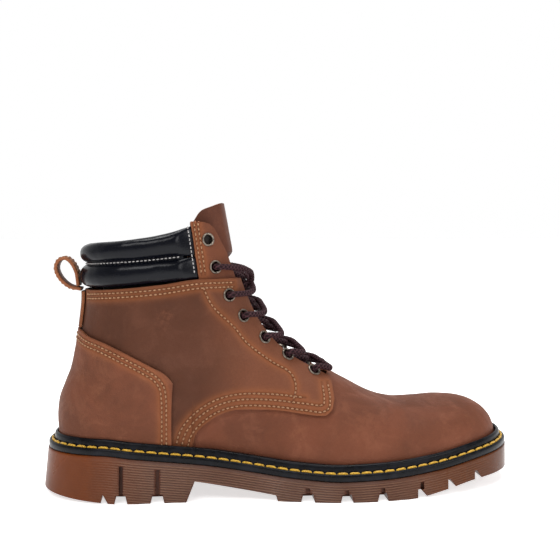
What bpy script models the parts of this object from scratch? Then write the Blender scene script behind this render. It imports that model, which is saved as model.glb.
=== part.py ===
"""A right-foot, lace-up steel-toe work boot with a six-inch shaft.

Lengths are in millimetres until a mesh is made. +X points to the toe, +Z up, -Y is the lateral side.
The upper is a family of nested surfaces round one last: `grow` is how far a surface stands outside it.
"""
import bmesh
import bpy
import numpy as np
from math import cos, pi, radians, sin
from mathutils import Matrix, Vector

MM = 0.001
LATERAL, MEDIAL = -1, 1
FOOTPRINT_CENTRE = (-0.27, 2.74)  # of the outsole's outline, from the heel and the last's own lines
GAP = 0.3  # between neighbouring pieces

# --- the last, seen from the side: the surface that the upper leathers are pulled over ---
HEEL_X, TOE_X = -139.3, 144.2
BACK_LINE = [(20, -138.0), (39, -138.8), (48, -139.3), (58, -138.4), (68, -135.1), (78, -131.2), (87, -129.1),
             (104, -126.4), (125, -124.6), (200, -124.6)]  # z, x
FRONT_LINE = [(-150, 3000), (-90, 900), (-66, 440), (-52, 270), (-44, 205), (-40, 184), (-34.5, 159),
              (-31, 146), (-20, 119), (-8, 101.5), (4, 89.5), (18, 79.2), (29, 72.3), (42, 65.2), (60, 55.8),
              (70, 52.6), (81, 51.0), (94, 51.4), (108, 52.2), (118, 51.7), (127, 49.8), (135, 46),
              (140.5, 40.8), (143.4, 34.5), (144.2, 27)]  # x, z
LATERAL_WIDTH = [(-139, 28), (-100, 29.5), (-60, 30), (-25, 32), (10, 39.5), (35, 45), (60, 46.5), (95, 45),
                 (142, 43)]
MEDIAL_WIDTH = [(-139, 28), (-100, 29.5), (-60, 29), (-25, 29), (10, 36), (40, 43.5), (60, 45), (95, 44),
                (142, 42)]
SHAFT_WIDTH = 33.0  # half width of the last from the ankle up
SHAFT_FROM, SHAFT_TO = 48.0, 100.0  # heights between which the foot's width becomes the shaft's
HEEL_ROUND, TOE_ROUND = 46.0, 70.0
ROUND_POWER = 2.25
ARCH_POWER = [(-60, 2.0), (-20, 2.1), (20, 2.5), (60, 2.7), (100, 2.5), (142, 2.3)]  # how boxy a section is
TOE_SWING, SWING_FROM, SWING_TO = 9.0, 10.0, 130.0  # the toe lies towards the big toe

# --- the bottom ---
SOLE_TOP = [(-153, 28.5), (-115, 28.5), (-96, 26.5), (-72, 24), (-55, 22.2), (5, 13.6), (30, 12.2), (58, 12.8),
            (93, 16), (123, 20.5), (153, 24)]
TREAD_LINE = [(-154, 4.2), (-138, 2.5), (-120, 1.1), (-100, 0), (72, 0), (86, 1.4), (100, 4.0), (120, 7.4), (153, 9)]
SOLE_EDGE = [(-153, 13.4), (-60, 12.4), (20, 10.4), (153, 8.8)]  # x, grow of the outsole's edge
WELT_INNER_HEEL, WELT_INNER_FRONT = 7.2, 2.5
WELT_STEP_FROM, WELT_STEP_TO = -70.0, -40.0
LEDGE_HEIGHT, BEAD_HEIGHT, BEAD_INSET = 5.4, 9.4, 4.0
HEEL_FLARE = 2.2
RIM_STEPS, PLATE_STEPS = 30, 16  # outline points per side
ARCH_GAP = [(-65.5, -5), (-58.4, 12.6), (-8.8, 3.6), (-6.2, -5)]  # x, z outline of the gap under the shank
NOTCH_HEIGHT, NOTCH_DEPTH = 5.2, 14.0
NOTCHES = [(-113, 4.5), (-103, 6.5), (-81, 7), (10.5, 7), (34, 6.5), (56.5, 5.5), (82, 5.5), (102.5, 5),
           (122, 4.5)]  # x, width

# --- layers, as grow: inner, outer ---
VAMP = (0.0, 1.9)
QUARTER = (2.4, 4.2)
HEEL_COVER = (4.8, 6.6)
STIFFENER = (-0.1, 1.0)
QUARTER_LINING = (-2.0, -0.9)
VAMP_LINING = (-4.2, -3.0)
TOE_CAP = (-2.6, -0.5)
COLLAR_LINING = (-8.4, -7.0)

# --- outlines of the leathers, seen from the side ---
TOP_EDGE = [(-140, 128.4), (-126, 128.6), (-80, 132.4), (-56, 135.7), (-28, 136)]
QUARTER_LOW = [(-61, 10), (-58.5, 38), (-52, 45.5), (-42.4, 51.6), (-31.7, 54.4), (-11.8, 54.2), (21.5, 50.8),
               (27.5, 54.5), (29, 60)]
QUARTER_FRONT = 28.6
VAMP_TOP = [(-72, 43), (-58, 52), (-42, 61), (-30, 63.5), (5, 63), (18, 65), (27, 71), (32, 80)]
VAMP_REAR = -71.0
COVER_EDGE = [(-140, 106), (-130.8, 103.0), (-126, 100.4), (-115, 96.8), (-100.4, 90.2), (-84.7, 81.9),
              (-76.5, 77.0), (-71.4, 70.5), (-69.6, 62), (-69.3, 40)]
COVER_FRONT = -69.4
LINING_TOP = [(-140, 127.4), (-126, 127.6), (-80, 131.4), (-58, 134), (-54, 132.5), (-46, 117), (-36, 103),
              (-20, 88.5), (-6, 78), (10, 67)]
THROAT_FROM = -34.0  # the quarters' edge turns down along the throat in front of this
THROAT_HALF = [(60, 14), (112, 14.6), (125, 16), (136, 19), (150, 20.5), (160, 23), (172, 27)]  # z, half width of the lacing gap

# --- collar and facings ---
COLLAR_FRONT = -61.5
FACING_REAR = -60.9
ROLL_SEAM = [(-140, 144), (-92, 147.2), (-60, 150.6)]
ROLL_TOP = [(-140, 157.6), (-108, 159.6), (-90, 161.8), (-74, 165.5), (-61, 170.5)]
ROLL_BOTTOM = [(-140, 129.2), (-126, 129.4), (-80, 133.2), (-56, 136.6)]
ROLL_INNER, ROLL_OUTER = -6.6, 7.0
ROLL_SIDES = 12
FACING_TOP = 171.5
FACING_BOTTOM = 131.5

# --- tongue ---
TONGUE_BOTTOM, TONGUE_BEND, TONGUE_TIP = 69.0, 151.0, 184.0
# z, arc from the ridge to the edge
TONGUE_HALF = [(69, 21), (100, 26), (148, 31), (160, 29), (168, 27.2), (173, 25.5), (179.2, 22.8), (182.2, 18.5),
               (183.3, 16), (184, 13)]
TONGUE_LEVEL = [(69, -5.4), (84, -7.0), (130, -7.0), (146.5, -5.2), (153, -0.2), (160, 0.4), (184, 1.2)]  # z, grow of its face at the ridge
TONGUE_EDGE_LEVEL = -9.8
TONGUE_THICKNESS = 2.6
TONGUE_RELIEF = 7.2  # how far the free top's lower edge rises towards its sides, so that it can tip back

# --- lacing ---
EYELETS = [(-50.5, 160.3), (-45.8, 143.0), (-37.2, 125.4), (-28.1, 112.0), (-14.3, 97.6), (0.9, 86.0),
           (18.0, 75.6)]  # x, z from the top down
FACING_EYELETS = 2
EYELET_HOLE, EYELET_BARREL, EYELET_FLANGE = 2.95, 3.4, 4.2  # radii
EYELET_SIDES = 10
LACE_RADIUS = 1.95
LACE_OVER, LACE_UNDER = 4.0, 0.2  # grow of the crossing strands at the ridge
TIP_LENGTH, TIP_RADIUS = 20.0, 1.7
TAIL_LEVEL, TIP_END = -4.9, 98.0  # how deep the tucked ends lie, and down to which height

# --- pull loop, centre line in the XZ plane ---
LOOP_LINE = [(-130.9, 128.4), (-138.6, 130.4), (-144.6, 136.0), (-146.9, 142.2), (-144.9, 147.2), (-140.9, 148.2),
             (-137.2, 145.4), (-134.2, 139.6), (-133.2, 131.8)]
LOOP_AXIS = (-132.4, 128.4)
LOOP_WIDTH, LOOP_THICKNESS = 15.0, 2.0

COLOURS = {
    "brown_leather": ((0.21, 0.085, 0.038), 0.62, 0.0), "tan_leather": ((0.35, 0.13, 0.05), 0.6, 0.0),
    "collar_leather": ((0.008, 0.009, 0.016), 0.3, 0.0), "black_rubber": ((0.012, 0.012, 0.014), 0.45, 0.0),
    "gum_rubber": ((0.16, 0.065, 0.032), 0.4, 0.0), "lining_cloth": ((0.035, 0.03, 0.028), 0.9, 0.0),
    "steel": ((0.55, 0.56, 0.58), 0.35, 1.0), "eyelet_metal": ((0.28, 0.22, 0.16), 0.4, 1.0),
    "lace_cord": ((0.035, 0.014, 0.012), 0.85, 0.0), "fibre_board": ((0.42, 0.33, 0.22), 0.85, 0.0),
    "cork": ((0.36, 0.23, 0.12), 0.9, 0.0), "foam": ((0.05, 0.05, 0.055), 0.9, 0.0),
    "lace_tip_plastic": ((0.02, 0.01, 0.01), 0.35, 0.0),
}


def curve(points):
    """A smooth function through the points that never overshoots between two of them."""
    xs, ys = np.array(points, float).T
    step = np.diff(xs)
    slope = np.diff(ys) / step
    tangent = np.empty_like(ys)
    tangent[0], tangent[-1] = slope[0], slope[-1]
    for i in range(1, len(xs) - 1):
        before, after = slope[i - 1], slope[i]
        tangent[i] = 2 * before * after / (before + after) if before * after > 0 else 0.0

    def value(x):
        x = np.clip(x, xs[0], xs[-1])
        i = np.clip(np.searchsorted(xs, x) - 1, 0, len(xs) - 2)
        t = (x - xs[i]) / step[i]
        return ((1 + 2 * t) * (1 - t) ** 2 * ys[i] + t * (1 - t) ** 2 * step[i] * tangent[i]
                + t * t * (3 - 2 * t) * ys[i + 1] + t * t * (t - 1) * step[i] * tangent[i + 1])

    return value


def smoothstep(x, low, high):
    t = np.clip((x - low) / (high - low), 0.0, 1.0)
    return t * t * (3 - 2 * t)


back_x = curve(BACK_LINE)
front_z = curve(FRONT_LINE)
side_width = {LATERAL: curve(LATERAL_WIDTH), MEDIAL: curve(MEDIAL_WIDTH)}
arch_power = curve(ARCH_POWER)
sole_top = curve(SOLE_TOP)
tread_line = curve(TREAD_LINE)
sole_edge = curve(SOLE_EDGE)
throat_half = curve(THROAT_HALF)
quarter_edge = curve(QUARTER_LOW)
front_tables = {}


def front_table(grow):
    """The front line moved outwards by grow, as x and z arrays."""
    if grow not in front_tables:
        x = np.concatenate([np.linspace(-150, 120, 700), np.linspace(120.2, TOE_X, 240)])
        z = front_z(x)
        dx, dz = np.gradient(x), np.gradient(z)
        length = np.hypot(dx, dz)
        moved = x - dz / length * grow
        order = np.argsort(moved)
        front_tables[grow] = moved[order], (z + dx / length * grow)[order]
    return front_tables[grow]


def front_height(x, grow):
    return np.interp(x, *front_table(grow))


def front_reach(z, grow):
    """x of the front line at height z, above the toe box."""
    xs, zs = front_table(grow)
    shaft = xs < 55
    return np.interp(-z, -zs[shaft], xs[shaft])


def feather(x):
    return sole_top(x) + 3.0


def centre_y(x):
    return TOE_SWING * smoothstep(x, SWING_FROM, SWING_TO)


def rounding(distance, radius):
    """1 inside, falling to 0 at an end that is rounded over this radius."""
    left = np.clip(1 - distance / radius, 0.0, 1.0)
    return (1 - left ** ROUND_POWER) ** (1 / ROUND_POWER)


def plan_width(x, z, side, grow):
    foot = side_width[side](x)
    full = foot + (SHAFT_WIDTH - foot) * smoothstep(z, SHAFT_FROM, SHAFT_TO) + grow
    ends = rounding(x - back_x(z) + grow, HEEL_ROUND + grow) * rounding(TOE_X + grow - x, TOE_ROUND + grow)
    return full * ends


def half_width(x, z, side, grow):
    height = np.maximum(front_height(x, grow) - feather(x), 0.01)
    rise = np.clip((z - feather(x)) / height, 0.0, 1.0)
    return plan_width(x, z, side, grow) * np.sqrt(1 - rise ** arch_power(x))


def station(x):
    """The column number, 0 at the heel and 1 at the toe, whose foot is at x."""
    return (x - HEEL_X) / (TOE_X - HEEL_X)


def wall_x(u, z, grow):
    flat = HEEL_X + u * (TOE_X - HEEL_X)
    fade = np.clip(1 - (flat - HEEL_X) / 95.0, 0.0, 1.0) ** 1.4
    return flat + grow * (2 * u - 1) + (back_x(z) - HEEL_X) * fade


def surface(u, z, side, grow):
    x = wall_x(u, z, grow)
    y = centre_y(x) + side * half_width(x, z, side, grow)
    return np.stack([x, y, z + 0 * x], -1)


def resample(points, count):
    """The polyline's points at equal steps of length."""
    along = np.concatenate([[0], np.cumsum(np.linalg.norm(np.diff(points, axis=0), axis=1))])
    wanted = np.linspace(0, along[-1], count)
    return np.stack([np.interp(wanted, along, points[:, k]) for k in range(3)], -1)


def height_at_width(x, side, grow, width):
    """The height at which the section at x has narrowed to this half width."""
    z = feather(x)
    for _ in range(6):
        share = np.clip(width / np.maximum(plan_width(x, z, side, grow), 0.01), 0.0, 1.0)
        rise = (1 - share ** 2) ** (1 / arch_power(x))
        z = feather(x) + (front_height(x, grow) - feather(x)) * rise
    return z


def column(u, side, grow, low, high, count, throat):
    """Points up the wall between the side-view lines low(x) and high(x), stopping at the throat."""
    ends = []
    for line in (low, high):
        z = 60.0
        for _ in range(14):
            x = wall_x(u, z, grow)
            z = float(line(x))
            if line is high and x > THROAT_FROM:
                z = min(z, height_at_width(x, side, grow, float(throat(z))))
        ends.append(z)
    z = ends[0] + max(ends[1] - ends[0], 0.5) * np.sin(np.linspace(0, pi / 2, 90))
    return resample(surface(u, z, side, grow), count)


def material(name):
    made = bpy.data.materials.get(name)
    if made is None:
        colour, rough, metal = COLOURS[name]
        made = bpy.data.materials.new(name)
        made.use_nodes = True
        shader = made.node_tree.nodes["Principled BSDF"]
        shader.inputs["Base Color"].default_value = (*colour, 1)
        shader.inputs["Roughness"].default_value = rough
        shader.inputs["Metallic"].default_value = metal
    return made


def add_object(name, points, faces, finish, smooth=True):
    mesh = bpy.data.meshes.new(name)
    mesh.from_pydata([tuple(p * MM) for p in points], [], faces)
    tidy = bmesh.new()
    tidy.from_mesh(mesh)
    bmesh.ops.recalc_face_normals(tidy, faces=tidy.faces)
    if tidy.calc_volume(signed=True) < 0:
        bmesh.ops.reverse_faces(tidy, faces=tidy.faces)
    tidy.to_mesh(mesh)
    tidy.free()
    if smooth:
        mesh.shade_smooth()
        mesh.set_sharp_from_angle(angle=radians(40))
    mesh.materials.append(material(finish))
    made = bpy.data.objects.new(name, mesh)
    bpy.context.scene.collection.objects.link(made)
    return made


def shell(name, patches, finish):
    """One closed body between matching grids: each patch is (outer grid, inner grid)."""
    index, outer, inner, quads = {}, [], [], []
    for out, inn in patches:
        numbers = np.empty(out.shape[:2], int)
        for i in range(out.shape[0]):
            for j in range(out.shape[1]):
                key = tuple(np.round(out[i, j], 3))
                if key not in index:
                    index[key] = len(outer)
                    outer.append(out[i, j])
                    inner.append(inn[i, j])
                numbers[i, j] = index[key]
        for i in range(out.shape[0] - 1):
            for j in range(out.shape[1] - 1):
                corners = (numbers[i, j], numbers[i + 1, j], numbers[i + 1, j + 1], numbers[i, j + 1])
                face = tuple(dict.fromkeys(int(c) for c in corners))
                if len(face) > 2:
                    quads.append(face)
    total = len(outer)
    edges = {}
    for face in quads:
        for a, b in zip(face, face[1:] + face[:1]):
            edges[frozenset((a, b))] = None if frozenset((a, b)) in edges else (a, b)
    walls = [(b, a, a + total, b + total) for a, b in (e for e in edges.values() if e)]
    backs = [tuple(c + total for c in reversed(face)) for face in quads]
    return add_object(name, outer + inner, quads + backs + walls, finish)


def sweep(name, loops, finish):
    """One closed body through a row of closed loops, capped at both ends."""
    count = len(loops[0])
    points = [p for loop in loops for p in loop]
    faces = []
    for i in range(len(loops) - 1):
        for j in range(count):
            k = (j + 1) % count
            faces.append((i * count + j, i * count + k, (i + 1) * count + k, (i + 1) * count + j))
    faces.append(tuple(reversed(range(count))))
    faces.append(tuple(range(len(points) - count, len(points))))
    return add_object(name, points, faces, finish)


def ring(name, loops, finish):
    """One closed body round a closed path: loops are its cross sections."""
    count, rows = len(loops[0]), len(loops)
    points = [p for loop in loops for p in loop]
    faces = []
    for i in range(rows):
        for j in range(count):
            k, n = (j + 1) % count, (i + 1) % rows
            faces.append((i * count + j, i * count + k, n * count + k, n * count + j))
    return add_object(name, points, faces, finish)


def cut(target, cutter):
    cutter.hide_render = True
    cutter.display_type = "WIRE"
    change = target.modifiers.new("cut", "BOOLEAN")
    change.operation = "DIFFERENCE"
    change.solver = "EXACT"
    change.object = cutter


def columns(stations, side, grow, low, high, count, throat):
    return np.array([column(u, side, grow, low, high, count, throat) for u in stations])


def spread(first, last, count, power=1.0):
    """Stations from x first to x last, closer together at the first end when power is over 1."""
    return [station(first + (last - first) * (i / (count - 1)) ** power) for i in range(count)]


def toe_spread(first, count):
    """Stations from x first to the toe tip, closing up towards the tip."""
    start = station(first)
    return [start + (1 - start) * sin(pi / 2 * i / (count - 1)) for i in range(count)]


HEEL_STATIONS = spread(HEEL_X, COVER_FRONT, 10, 1.5)
TOE_STATIONS = toe_spread(32.5, 12)
CAP_FROM = 5  # the toe station at which the steel cap starts


def upper_foot(x):
    return sole_top(x) + 0.7


# ---------------------------------------------------------------- the bottom

def plan_point(u, side, grow):
    """A point of the plan outline at the feather line; grow is a function of x."""
    flat = HEEL_X + u * (TOE_X - HEEL_X)
    return surface(u, feather(flat), side, float(grow(flat)))


def outline(grow, per_side):
    """Closed plan outline: lateral side from heel to toe, then medial side back."""
    turns = [(1 - cos(pi * i / per_side)) / 2 for i in range(per_side + 1)]
    lateral = [plan_point(u, LATERAL, grow) for u in turns]
    medial = [plan_point(u, MEDIAL, grow) for u in reversed(turns[1:-1])]
    return np.array(lateral + medial)


def slab(name, bottom, top, finish):
    """One closed body between two outlines that have the same number of points."""
    total = len(bottom)
    faces = []
    for i in range(total // 2):
        face = tuple(dict.fromkeys((i, i + 1, (-i - 1) % total, (-i) % total)))
        faces.append(tuple(reversed(face)))
        faces.append(tuple(v + total for v in face))
    for i in range(total):
        k = (i + 1) % total
        faces.append((i, k, k + total, i + total))
    return add_object(name, list(bottom) + list(top), faces, finish)


def plate(name, grow, low, high, finish):
    """A sheet that follows the bottom, between two heights over the outsole's top."""
    rim = outline(lambda x: grow, PLATE_STEPS)
    bottom, top = rim.copy(), rim.copy()
    bottom[:, 2] = sole_top(rim[:, 0]) + low
    top[:, 2] = sole_top(rim[:, 0]) + high
    slab(name, bottom, top, finish)


def make_outsole():
    flare = curve([(-153, HEEL_FLARE), (-60, 0.6), (153, 0.0)])
    upper = outline(sole_edge, RIM_STEPS)
    lower = outline(lambda x: sole_edge(x) + flare(x), RIM_STEPS)
    upper[:, 2] = sole_top(upper[:, 0])
    lower[:, 2] = tread_line(lower[:, 0])
    sole = slab("outsole", lower, upper, "gum_rubber")
    cut(sole, box_row("arch_cutter", [prism(ARCH_GAP, -80.0, 80.0)]))
    cut(sole, box_row("notch_cutter", notch_boxes()))


def prism(profile, left, right):
    """An XZ outline drawn out along Y."""
    points = [np.array([x, y, z]) for y in (left, right) for x, z in profile]
    count = len(profile)
    faces = [tuple(range(count)), tuple(reversed(range(count, 2 * count)))]
    for i in range(count):
        k = (i + 1) % count
        faces.append((i, i + count, k + count, k))
    return points, faces


def notch_boxes():
    boxes = []
    for x, width in NOTCHES:
        for side in (LATERAL, MEDIAL):
            edge = plan_point(station(x), side, sole_edge)[1]
            inner = edge - side * NOTCH_DEPTH
            left, right = sorted((inner, edge + side * 20.0))
            low = float(tread_line(x))
            profile = [(x - width / 2, low - 6), (x - width / 2 + 0.8, low + NOTCH_HEIGHT),
                       (x + width / 2 - 0.8, low + NOTCH_HEIGHT), (x + width / 2, low - 6)]
            boxes.append(prism(profile, left, right))
    return boxes


def box_row(name, solids):
    """Several separate closed shapes in one cutter."""
    points, faces = [], []
    for corner, polygons in solids:
        start = len(points)
        points += corner
        faces += [tuple(v + start for v in face) for face in polygons]
    return add_object(name, points, faces, "gum_rubber", smooth=False)


def welt_inner(x):
    drop = WELT_INNER_HEEL - WELT_INNER_FRONT
    return WELT_INNER_HEEL - drop * smoothstep(x, WELT_STEP_FROM, WELT_STEP_TO)


def make_welt():
    """Two tiers: a wide ledge that carries the stitching, and a bead against the leather."""
    inner = outline(welt_inner, RIM_STEPS)
    ledge = outline(lambda x: sole_edge(x) - 0.4, RIM_STEPS)
    bead = outline(lambda x: np.maximum(sole_edge(x) - BEAD_INSET, welt_inner(x) + 1.6), RIM_STEPS)
    loops = []
    for a, b, c in zip(inner, ledge, bead):
        base = sole_top(np.array([a[0], b[0], c[0]])) + GAP
        loops.append([
            np.array([a[0], a[1], base[0]]), np.array([b[0], b[1], base[1]]),
            np.array([b[0], b[1], base[1] + LEDGE_HEIGHT - 1.0]),
            np.array([c[0], c[1], base[2] + LEDGE_HEIGHT]),
            np.array([c[0], c[1], base[2] + BEAD_HEIGHT - 1.0]),
            np.array([a[0], a[1], base[0] + BEAD_HEIGHT]),
        ])
    ring("welt", loops, "black_rubber")


def make_inner_bottom():
    plate("midsole_filler", -5.2, 0.3, 3.4, "cork")
    plate("insole_board", -5.2, 5.4, 7.8, "fibre_board")
    plate("footbed", -8.0, 8.2, 12.6, "foam")
    make_shank()


def make_shank():
    first, last, half, thickness = -100.0, 8.0, 7.0, 1.2
    loops = []
    for x in np.linspace(first, last, 12):
        low = float(sole_top(x)) + 3.8
        loops.append([np.array([x, -half, low]), np.array([x, half, low]),
                      np.array([x, half, low + thickness]), np.array([x, -half, low + thickness])])
    sweep("steel_shank", loops, "steel")


# ---------------------------------------------------------------- the upper

def two_sided(stations, layer, low, high, count):
    """Lateral and medial grids, which meet where they reach the ridge, the heel line or the toe tip."""
    return [tuple(columns(stations, side, grow, low, high, count, lambda z: 0.0) for grow in reversed(layer))
            for side in (LATERAL, MEDIAL)]


def make_vamp():
    top = curve(VAMP_TOP + [(33, 400)])
    stations = spread(VAMP_REAR, 24, 9) + TOE_STATIONS
    shell("vamp", two_sided(stations, VAMP, upper_foot, top, 8), "brown_leather")
    stations = spread(VAMP_REAR + 10, 20, 6) + TOE_STATIONS
    shell("vamp_lining", two_sided(stations, VAMP_LINING, upper_foot, top, 6), "lining_cloth")


def make_toe_cap():
    ridge = curve([(0, 400), (200, 400)])
    stations = TOE_STATIONS[CAP_FROM:]
    shell("steel_toe_cap", two_sided(stations, TOE_CAP, upper_foot, ridge, 8), "steel")
    edge = TOE_STATIONS[CAP_FROM] - station(HEEL_X + GAP)
    stations = [edge - station(HEEL_X + 5.0), edge]
    shell("toe_cap_strip", two_sided(stations, TOE_CAP, upper_foot, ridge, 8), "foam")


def quarter_low(x):
    return np.where(x < -60.9, upper_foot(x), np.maximum(quarter_edge(x), upper_foot(x)))


def make_quarters():
    top = curve(TOP_EDGE)
    stations = HEEL_STATIONS + [station(-66.5), station(-61.2)] + spread(-59.5, QUARTER_FRONT, 14)
    for name, side in (("quarter_lateral", LATERAL), ("quarter_medial", MEDIAL)):
        outer, inner = (columns(stations, side, grow, quarter_low, top, 8, throat_half) for grow in reversed(QUARTER))
        seam = np.array([0.0, side * GAP / 2, 0.0])
        outer[0] += seam
        inner[0] += seam
        panel = shell(name, [(outer, inner)], "brown_leather")
        for number in range(FACING_EYELETS, len(EYELETS)):
            cut(panel, eyelet_cutter(number, side, QUARTER))


def make_heel_pieces():
    shell("heel_cover", two_sided(HEEL_STATIONS, HEEL_COVER, upper_foot, curve(COVER_EDGE), 7), "brown_leather")
    edge = curve([(x, z - 6.0) for x, z in COVER_EDGE])
    shell("heel_stiffener", two_sided(HEEL_STATIONS[:-1], STIFFENER, upper_foot, edge, 8), "fibre_board")
    stations = [0.0, 0.0016, 0.0062]
    shell("backstay", two_sided(stations, HEEL_COVER, lambda x: 104.6, lambda x: 127.2, 5), "brown_leather")


def make_linings():
    stations = HEEL_STATIONS + spread(-60, 10, 8)
    shell("quarter_lining", two_sided(stations, QUARTER_LINING, upper_foot, curve(LINING_TOP), 6), "lining_cloth")
    stations = HEEL_STATIONS
    low, high = curve([(x, z + 1.0) for x, z in ROLL_BOTTOM]), curve([(x, z - 5.0) for x, z in ROLL_TOP])
    shell("collar_lining", two_sided(stations, COLLAR_LINING, low, high, 4), "lining_cloth")


def make_roll(name, low, high, shrink):
    """A padded roll that goes round the back of the shaft from facing to facing."""
    middle, reach = (ROLL_INNER + ROLL_OUTER) / 2, (ROLL_OUTER - ROLL_INNER) / 2
    stations = HEEL_STATIONS + [station(COLLAR_FRONT - 4.0)]
    route = [(u, LATERAL) for u in reversed(stations)] + [(u, MEDIAL) for u in stations[1:]]
    loops = []
    for u, side in route:
        loop = []
        for k in range(ROLL_SIDES):
            turn = 2 * pi * k / ROLL_SIDES
            across, up = cos(turn), sin(turn)
            x = wall_x(u, 150.0, 0.0)
            bottom, top = float(low(x)) + shrink, float(high(x)) - shrink
            z = (bottom + top) / 2 + (top - bottom) / 2 * np.sign(up) * abs(up) ** 0.8
            grow = middle + reach * np.sign(across) * abs(across) ** 0.8
            loop.append(surface(u, float(z), side, round(grow, 3)))
        loops.append(loop)
    return sweep(name, loops, "collar_leather")


def make_collar():
    make_roll("collar_roll_upper", curve(ROLL_SEAM), curve(ROLL_TOP), GAP / 2)
    make_roll("collar_roll_lower", curve(ROLL_BOTTOM), curve(ROLL_SEAM), GAP / 2)


def front_row(z, side, grow, first, count):
    """Points of the horizontal section from x first forwards to the throat."""
    near, far = first, float(front_reach(z, grow))
    for _ in range(40):
        middle = (near + far) / 2
        if half_width(middle, z, side, grow) > throat_half(z):
            near = middle
        else:
            far = middle
    x = first + (near - first) * np.sin(np.linspace(0, pi / 2, 80))
    y = centre_y(x) + side * half_width(x, z, side, grow)
    return resample(np.stack([x, y, 0 * x + z], -1), count)


def make_facings():
    rear = curve([(FACING_BOTTOM, FACING_REAR + 6.0), (FACING_TOP, FACING_REAR)])
    heights = np.linspace(FACING_BOTTOM, FACING_TOP, 9)
    for name, side in (("facing_lateral", LATERAL), ("facing_medial", MEDIAL)):
        outer, inner = (np.array([front_row(z, side, grow, float(rear(z)), 7) for z in heights])
                        for grow in reversed(VAMP))
        panel = shell(name, [(outer, inner)], "brown_leather")
        for number in range(FACING_EYELETS):
            cut(panel, eyelet_cutter(number, side, VAMP))


# ---------------------------------------------------------------- tongue

def ridge_row(height, side, level, half, count, lift=0.0):
    """Points of a section from the ridge backwards over an arc of this length; lift raises its outer end."""
    row = []
    for k in range(count):
        part = k / (count - 1)
        z = height + lift * part ** 2
        grow = round(level + (TONGUE_EDGE_LEVEL - level) * float(smoothstep(half * part, 14.0, 31.0)), 2)
        x = float(front_reach(z, grow)) - 70.0 * (1 - np.cos(np.linspace(0, pi / 2, 160)))
        y = half_width(x, z, side, grow)
        y[0] = 0.0
        along = np.concatenate([[0], np.cumsum(np.hypot(np.diff(x), np.diff(y)))])
        reach = half * part
        row.append([np.interp(reach, along, x), np.interp(reach, along, y) * side, z])
    row = np.array(row)
    row[:, 1] += centre_y(row[:, 0])
    return row


def tongue_patches(low, high, rows, lift=0.0):
    half, level = curve(TONGUE_HALF), curve(TONGUE_LEVEL)
    heights = np.linspace(low, high, rows)
    lifts = lift * np.linspace(1, 0, rows)
    patches = []
    for side in (LATERAL, MEDIAL):
        outer = np.array([ridge_row(z, side, float(level(z)), float(half(z)), 7, raised)
                          for z, raised in zip(heights, lifts)])
        normals = np.cross(np.gradient(outer, axis=1), np.gradient(outer, axis=0))
        normals[:, :, 2] = 0.0
        normals /= np.linalg.norm(normals, axis=2, keepdims=True)
        normals[:, 0, 1] = 0.0
        outward = np.sign(normals[:, 1:2, 0:1])
        patches.append((outer, outer - normals * outward * TONGUE_THICKNESS))
    return patches


def make_tongue():
    shell("tongue", tongue_patches(TONGUE_BOTTOM, TONGUE_BEND - 0.4, 12), "brown_leather")
    shell("tongue_top", tongue_patches(TONGUE_BEND, TONGUE_TIP, 7, TONGUE_RELIEF), "brown_leather")


# ---------------------------------------------------------------- eyelets and lace

def eyelet_frame(number, side, grow):
    """Centre on the leather and the outward normal there."""
    x, z = EYELETS[number]
    step = 0.5
    width = half_width(x, z, side, grow)
    slope_x = (half_width(x + step, z, side, grow) - half_width(x - step, z, side, grow)) / (2 * step)
    slope_z = (half_width(x, z + step, side, grow) - half_width(x, z - step, side, grow)) / (2 * step)
    normal = Vector((-slope_x, side, -slope_z)).normalized()
    return Vector((x, centre_y(x) + side * width, z)), normal


def eyelet_layer(number):
    return VAMP if number < FACING_EYELETS else QUARTER


def eyelet_cutter(number, side, layer):
    """A barrel that cuts the eyelet's hole through the leather."""
    centre, normal = eyelet_frame(number, side, sum(layer) / 2)
    bm = bmesh.new()
    bmesh.ops.create_cone(bm, cap_ends=True, segments=EYELET_SIDES, depth=7 * MM,
                          radius1=(EYELET_BARREL + GAP) * MM, radius2=(EYELET_BARREL + GAP) * MM)
    return placed(f"hole_{number}_{side}", bm, centre, normal, "eyelet_metal")


def placed(name, bm, centre, normal, finish):
    turn = normal.to_track_quat("Z", "Y").to_matrix().to_4x4()
    mesh = bpy.data.meshes.new(name)
    bm.to_mesh(mesh)
    bm.free()
    mesh.materials.append(material(finish))
    made = bpy.data.objects.new(name, mesh)
    made.matrix_world = Matrix.Translation(centre * MM) @ turn
    bpy.context.scene.collection.objects.link(made)
    return made


def make_eyelets():
    """A rolled flange over a barrel that passes through the leather."""
    half = 1.0 + GAP
    profile = [(EYELET_HOLE, -half - 0.2), (EYELET_BARREL, -half - 0.2), (EYELET_BARREL, half),
               (EYELET_FLANGE, half), (EYELET_FLANGE - 0.5, half + 0.8), (EYELET_HOLE + 0.3, half + 0.8)]
    for number in range(len(EYELETS)):
        for side, word in ((LATERAL, "lateral"), (MEDIAL, "medial")):
            centre, normal = eyelet_frame(number, side, sum(eyelet_layer(number)) / 2)
            bm = bmesh.new()
            rings = []
            for k in range(EYELET_SIDES):
                turn = 2 * pi * k / EYELET_SIDES
                rings.append([bm.verts.new((r * cos(turn) * MM, r * sin(turn) * MM, h * MM)) for r, h in profile])
            for k in range(EYELET_SIDES):
                here, there = rings[k], rings[(k + 1) % EYELET_SIDES]
                for j in range(len(profile)):
                    i = (j + 1) % len(profile)
                    bm.faces.new((here[j], there[j], there[i], here[i]))
            bmesh.ops.recalc_face_normals(bm, faces=bm.faces)
            eyelet = placed(f"eyelet_{word}_{number + 1}", bm, centre, normal, "eyelet_metal")
            eyelet.data.shade_smooth()
            eyelet.data.set_sharp_from_angle(angle=radians(40))


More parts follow.
